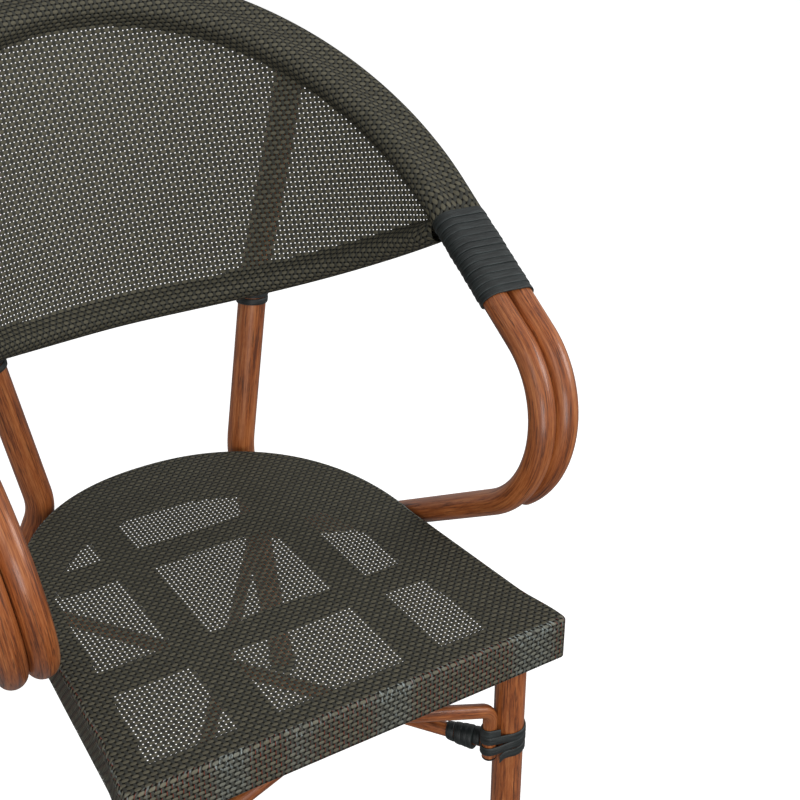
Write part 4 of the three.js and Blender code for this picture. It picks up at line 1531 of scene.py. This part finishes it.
    def build(self, shop: Workshop) -> None:
        """Wind every strip."""
        hoops, legs, bracing = self.hoops, self.legs, self.bracing
        round_arm = self.loop(Turn.PAIR, (hoops.radius, hoops.radius), hoops.pitch)
        spacing = legs.front_across - bracing.arch_across
        round_leg = self.loop(Turn.PAIR, (legs.radius, bracing.radius), spacing)
        round_leg = round_leg[-self.leg_valley:] + round_leg[:-self.leg_valley]
        round_brace = self.loop(Turn.SINGLE, (bracing.radius, 0.0), 0.0)
        round_upright = self.loop(Turn.SINGLE, (legs.radius, 0.0), 0.0)
        run = UPRIGHT_STRIP.turns * UPRIGHT_STRIP.pitch + UPRIGHT_STRIP.width
        for number, (side, sign) in enumerate(SIDES):
            near, far = (at(sign * place[0], *place[1:]) for place in (legs.bend, legs.at_rail))
            start = (far - near).length - run - self.upright_below
            on_brace = self.on_line(*bracing.line(sign), self.brace_start, BRACE_STRIP)
            on_upright = self.on_line(near, far, start, UPRIGHT_STRIP)
            for name, node, strip, loop, pose, mirror, seed in (
                ("arm", "arm_binding", ARM_STRIP, round_arm, self.on_arm(), sign, 11),
                ("leg", "leg_binding", LEG_STRIP, round_leg, self.on_leg(), sign, 21),
                ("brace", "brace_wrap", BRACE_STRIP, round_brace, on_brace, 1, 31),
                ("upright", "upright_binding", UPRIGHT_STRIP, round_upright, on_upright, 1, 41),
            ):
                piece = self.wind(f"{name}_strip_{side}", strip, loop, pose, mirror, seed + number)
                shop.mount(piece, Finish.STRIP, f"{node}_{side}")


# Studio


@dataclass
class Studio:
    """Pale floor, soft light and the camera at the photograph's viewing angle.

    Each of the lamps has a name, its place, what it faces, its size and its power.
    """

    camera_place: Place = (-0.4805, -0.8052, 0.7813)
    heading: float = 0.569
    pitch: float = 0.497
    lens: float = 67.5
    sensor: float = 36.0
    floor_size: float = 16.0
    floor_below: float = 0.0002
    floor_parts: int = 8
    floor_glow: float = 0.5
    floor_relief: float = 0.0002
    cloud_scale: Place = (1.5, 1.5, 1.5)
    floor_low: tuple = colour(250, 250, 250)
    floor_high: tuple = colour(253, 253, 253)
    white: tuple = (1.0, 1.0, 1.0, 1.0)
    sky_top: float = 0.44
    sky_edge: float = 0.5
    sky_low: float = 0.2
    lamps: tuple[tuple[str, Place, Place, float, float], ...] = (
        ("key_light", (-2.2, -2.0, 3.0), (0.0, 0.0, 0.5), 1.6, 14.0),
        ("side_light", (2.4, -1.6, 2.0), (0.0, 0.0, 0.5), 1.4, 40.0),
        ("front_light", (-1.2, -3.2, 0.9), (0.0, 0.0, 0.35), 1.6, 40.0),
        ("top_light", (0.8, 0.5, 3.4), (0.0, 0.0, 0.4), 2.2, 10.0),
    )

    def floor(self) -> None:
        """A plain pale floor that throws no light up at the chair."""
        shader = Shader("pale_floor", {
            "Specular IOR Level": 0.0, "Emission Color": self.white, "Emission Strength": self.floor_glow,
        })
        cloud = shader.noise(shader.world(), self.cloud_scale)
        base = shader.blend(cloud, self.floor_low, self.floor_high)
        material = shader.dress(base, 0.8 + cloud * 0.1, cloud, self.floor_relief)
        edges = spaced(-self.floor_size / 2, self.floor_size / 2, self.floor_parts)
        draft = Draft()
        rows = [draft.row([Vector((x, y, -self.floor_below)) for x in edges], [(x, y, 0.0) for x in edges])
                for y in edges]
        draft.skin(rows, closed=False)
        floor = draft.build("studio_floor")
        floor.data.materials.append(material)
        floor.visible_diffuse = False
        floor.visible_glossy = False

    def sky(self) -> None:
        """Soft light from all round, most from above and least from below."""
        world = bpy.data.worlds.new("studio")
        bpy.context.scene.world = world
        world.use_nodes = True
        nodes = Nodes(world.node_tree)
        way = nodes.add("ShaderNodeTexCoord", {}, {}).outputs["Generated"]
        height = Signal(nodes, nodes.add("ShaderNodeSeparateXYZ", {}, {0: way}).outputs[2])
        light = (self.sky_low + height.between(-0.35, 0.1) * (self.sky_edge - self.sky_low)
                 + height.between(0.0, 0.9) * (self.sky_top - self.sky_edge))
        back = nodes.add("ShaderNodeBackground", {}, {"Color": self.white, "Strength": light})
        nodes.add("ShaderNodeOutputWorld", {}, {"Surface": back.outputs[0]})

    def lamp(self, name: str, place: Place, target: Place, size: float, power: float) -> None:
        """A soft square light that faces a target."""
        data = bpy.data.lights.new(name, "AREA")
        data.shape, data.size, data.energy = "SQUARE", size, power
        light = bpy.data.objects.new(name, data)
        light.location = place
        light.rotation_euler = (Vector(target) - Vector(place)).to_track_quat("-Z", "Y").to_euler()
        bpy.context.scene.collection.objects.link(light)

    def build(self) -> None:
        """Set the floor, the lights and the camera."""
        self.floor()
        self.sky()
        bpy.context.scene.view_settings.view_transform = "Standard"
        for name, place, target, size, power in self.lamps:
            self.lamp(name, place, target, size, power)
        data = bpy.data.cameras.new("camera")
        data.lens, data.sensor_width = self.lens, self.sensor
        camera = bpy.data.objects.new("camera", data)
        camera.location = at(*self.camera_place)
        camera.rotation_euler = (math.pi / 2 - self.pitch, 0.0, -self.heading)
        bpy.context.scene.collection.objects.link(camera)
        bpy.context.scene.camera = camera


def main() -> None:
    """Build the chair piece by piece, and the studio round it."""
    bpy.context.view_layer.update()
    shop = Workshop()
    Studio().build()
    seat = Seat()
    seat.build(shop)
    legs = Legs()
    legs.build(shop)
    hoops = Hoops(legs)
    hoops.build(shop, seat)
    BackWeave(hoops).build(shop)
    bracing = Bracing(legs)
    bracing.build(shop)
    Bindings(hoops, legs, bracing).build(shop)


if __name__ == "__main__":
    main()
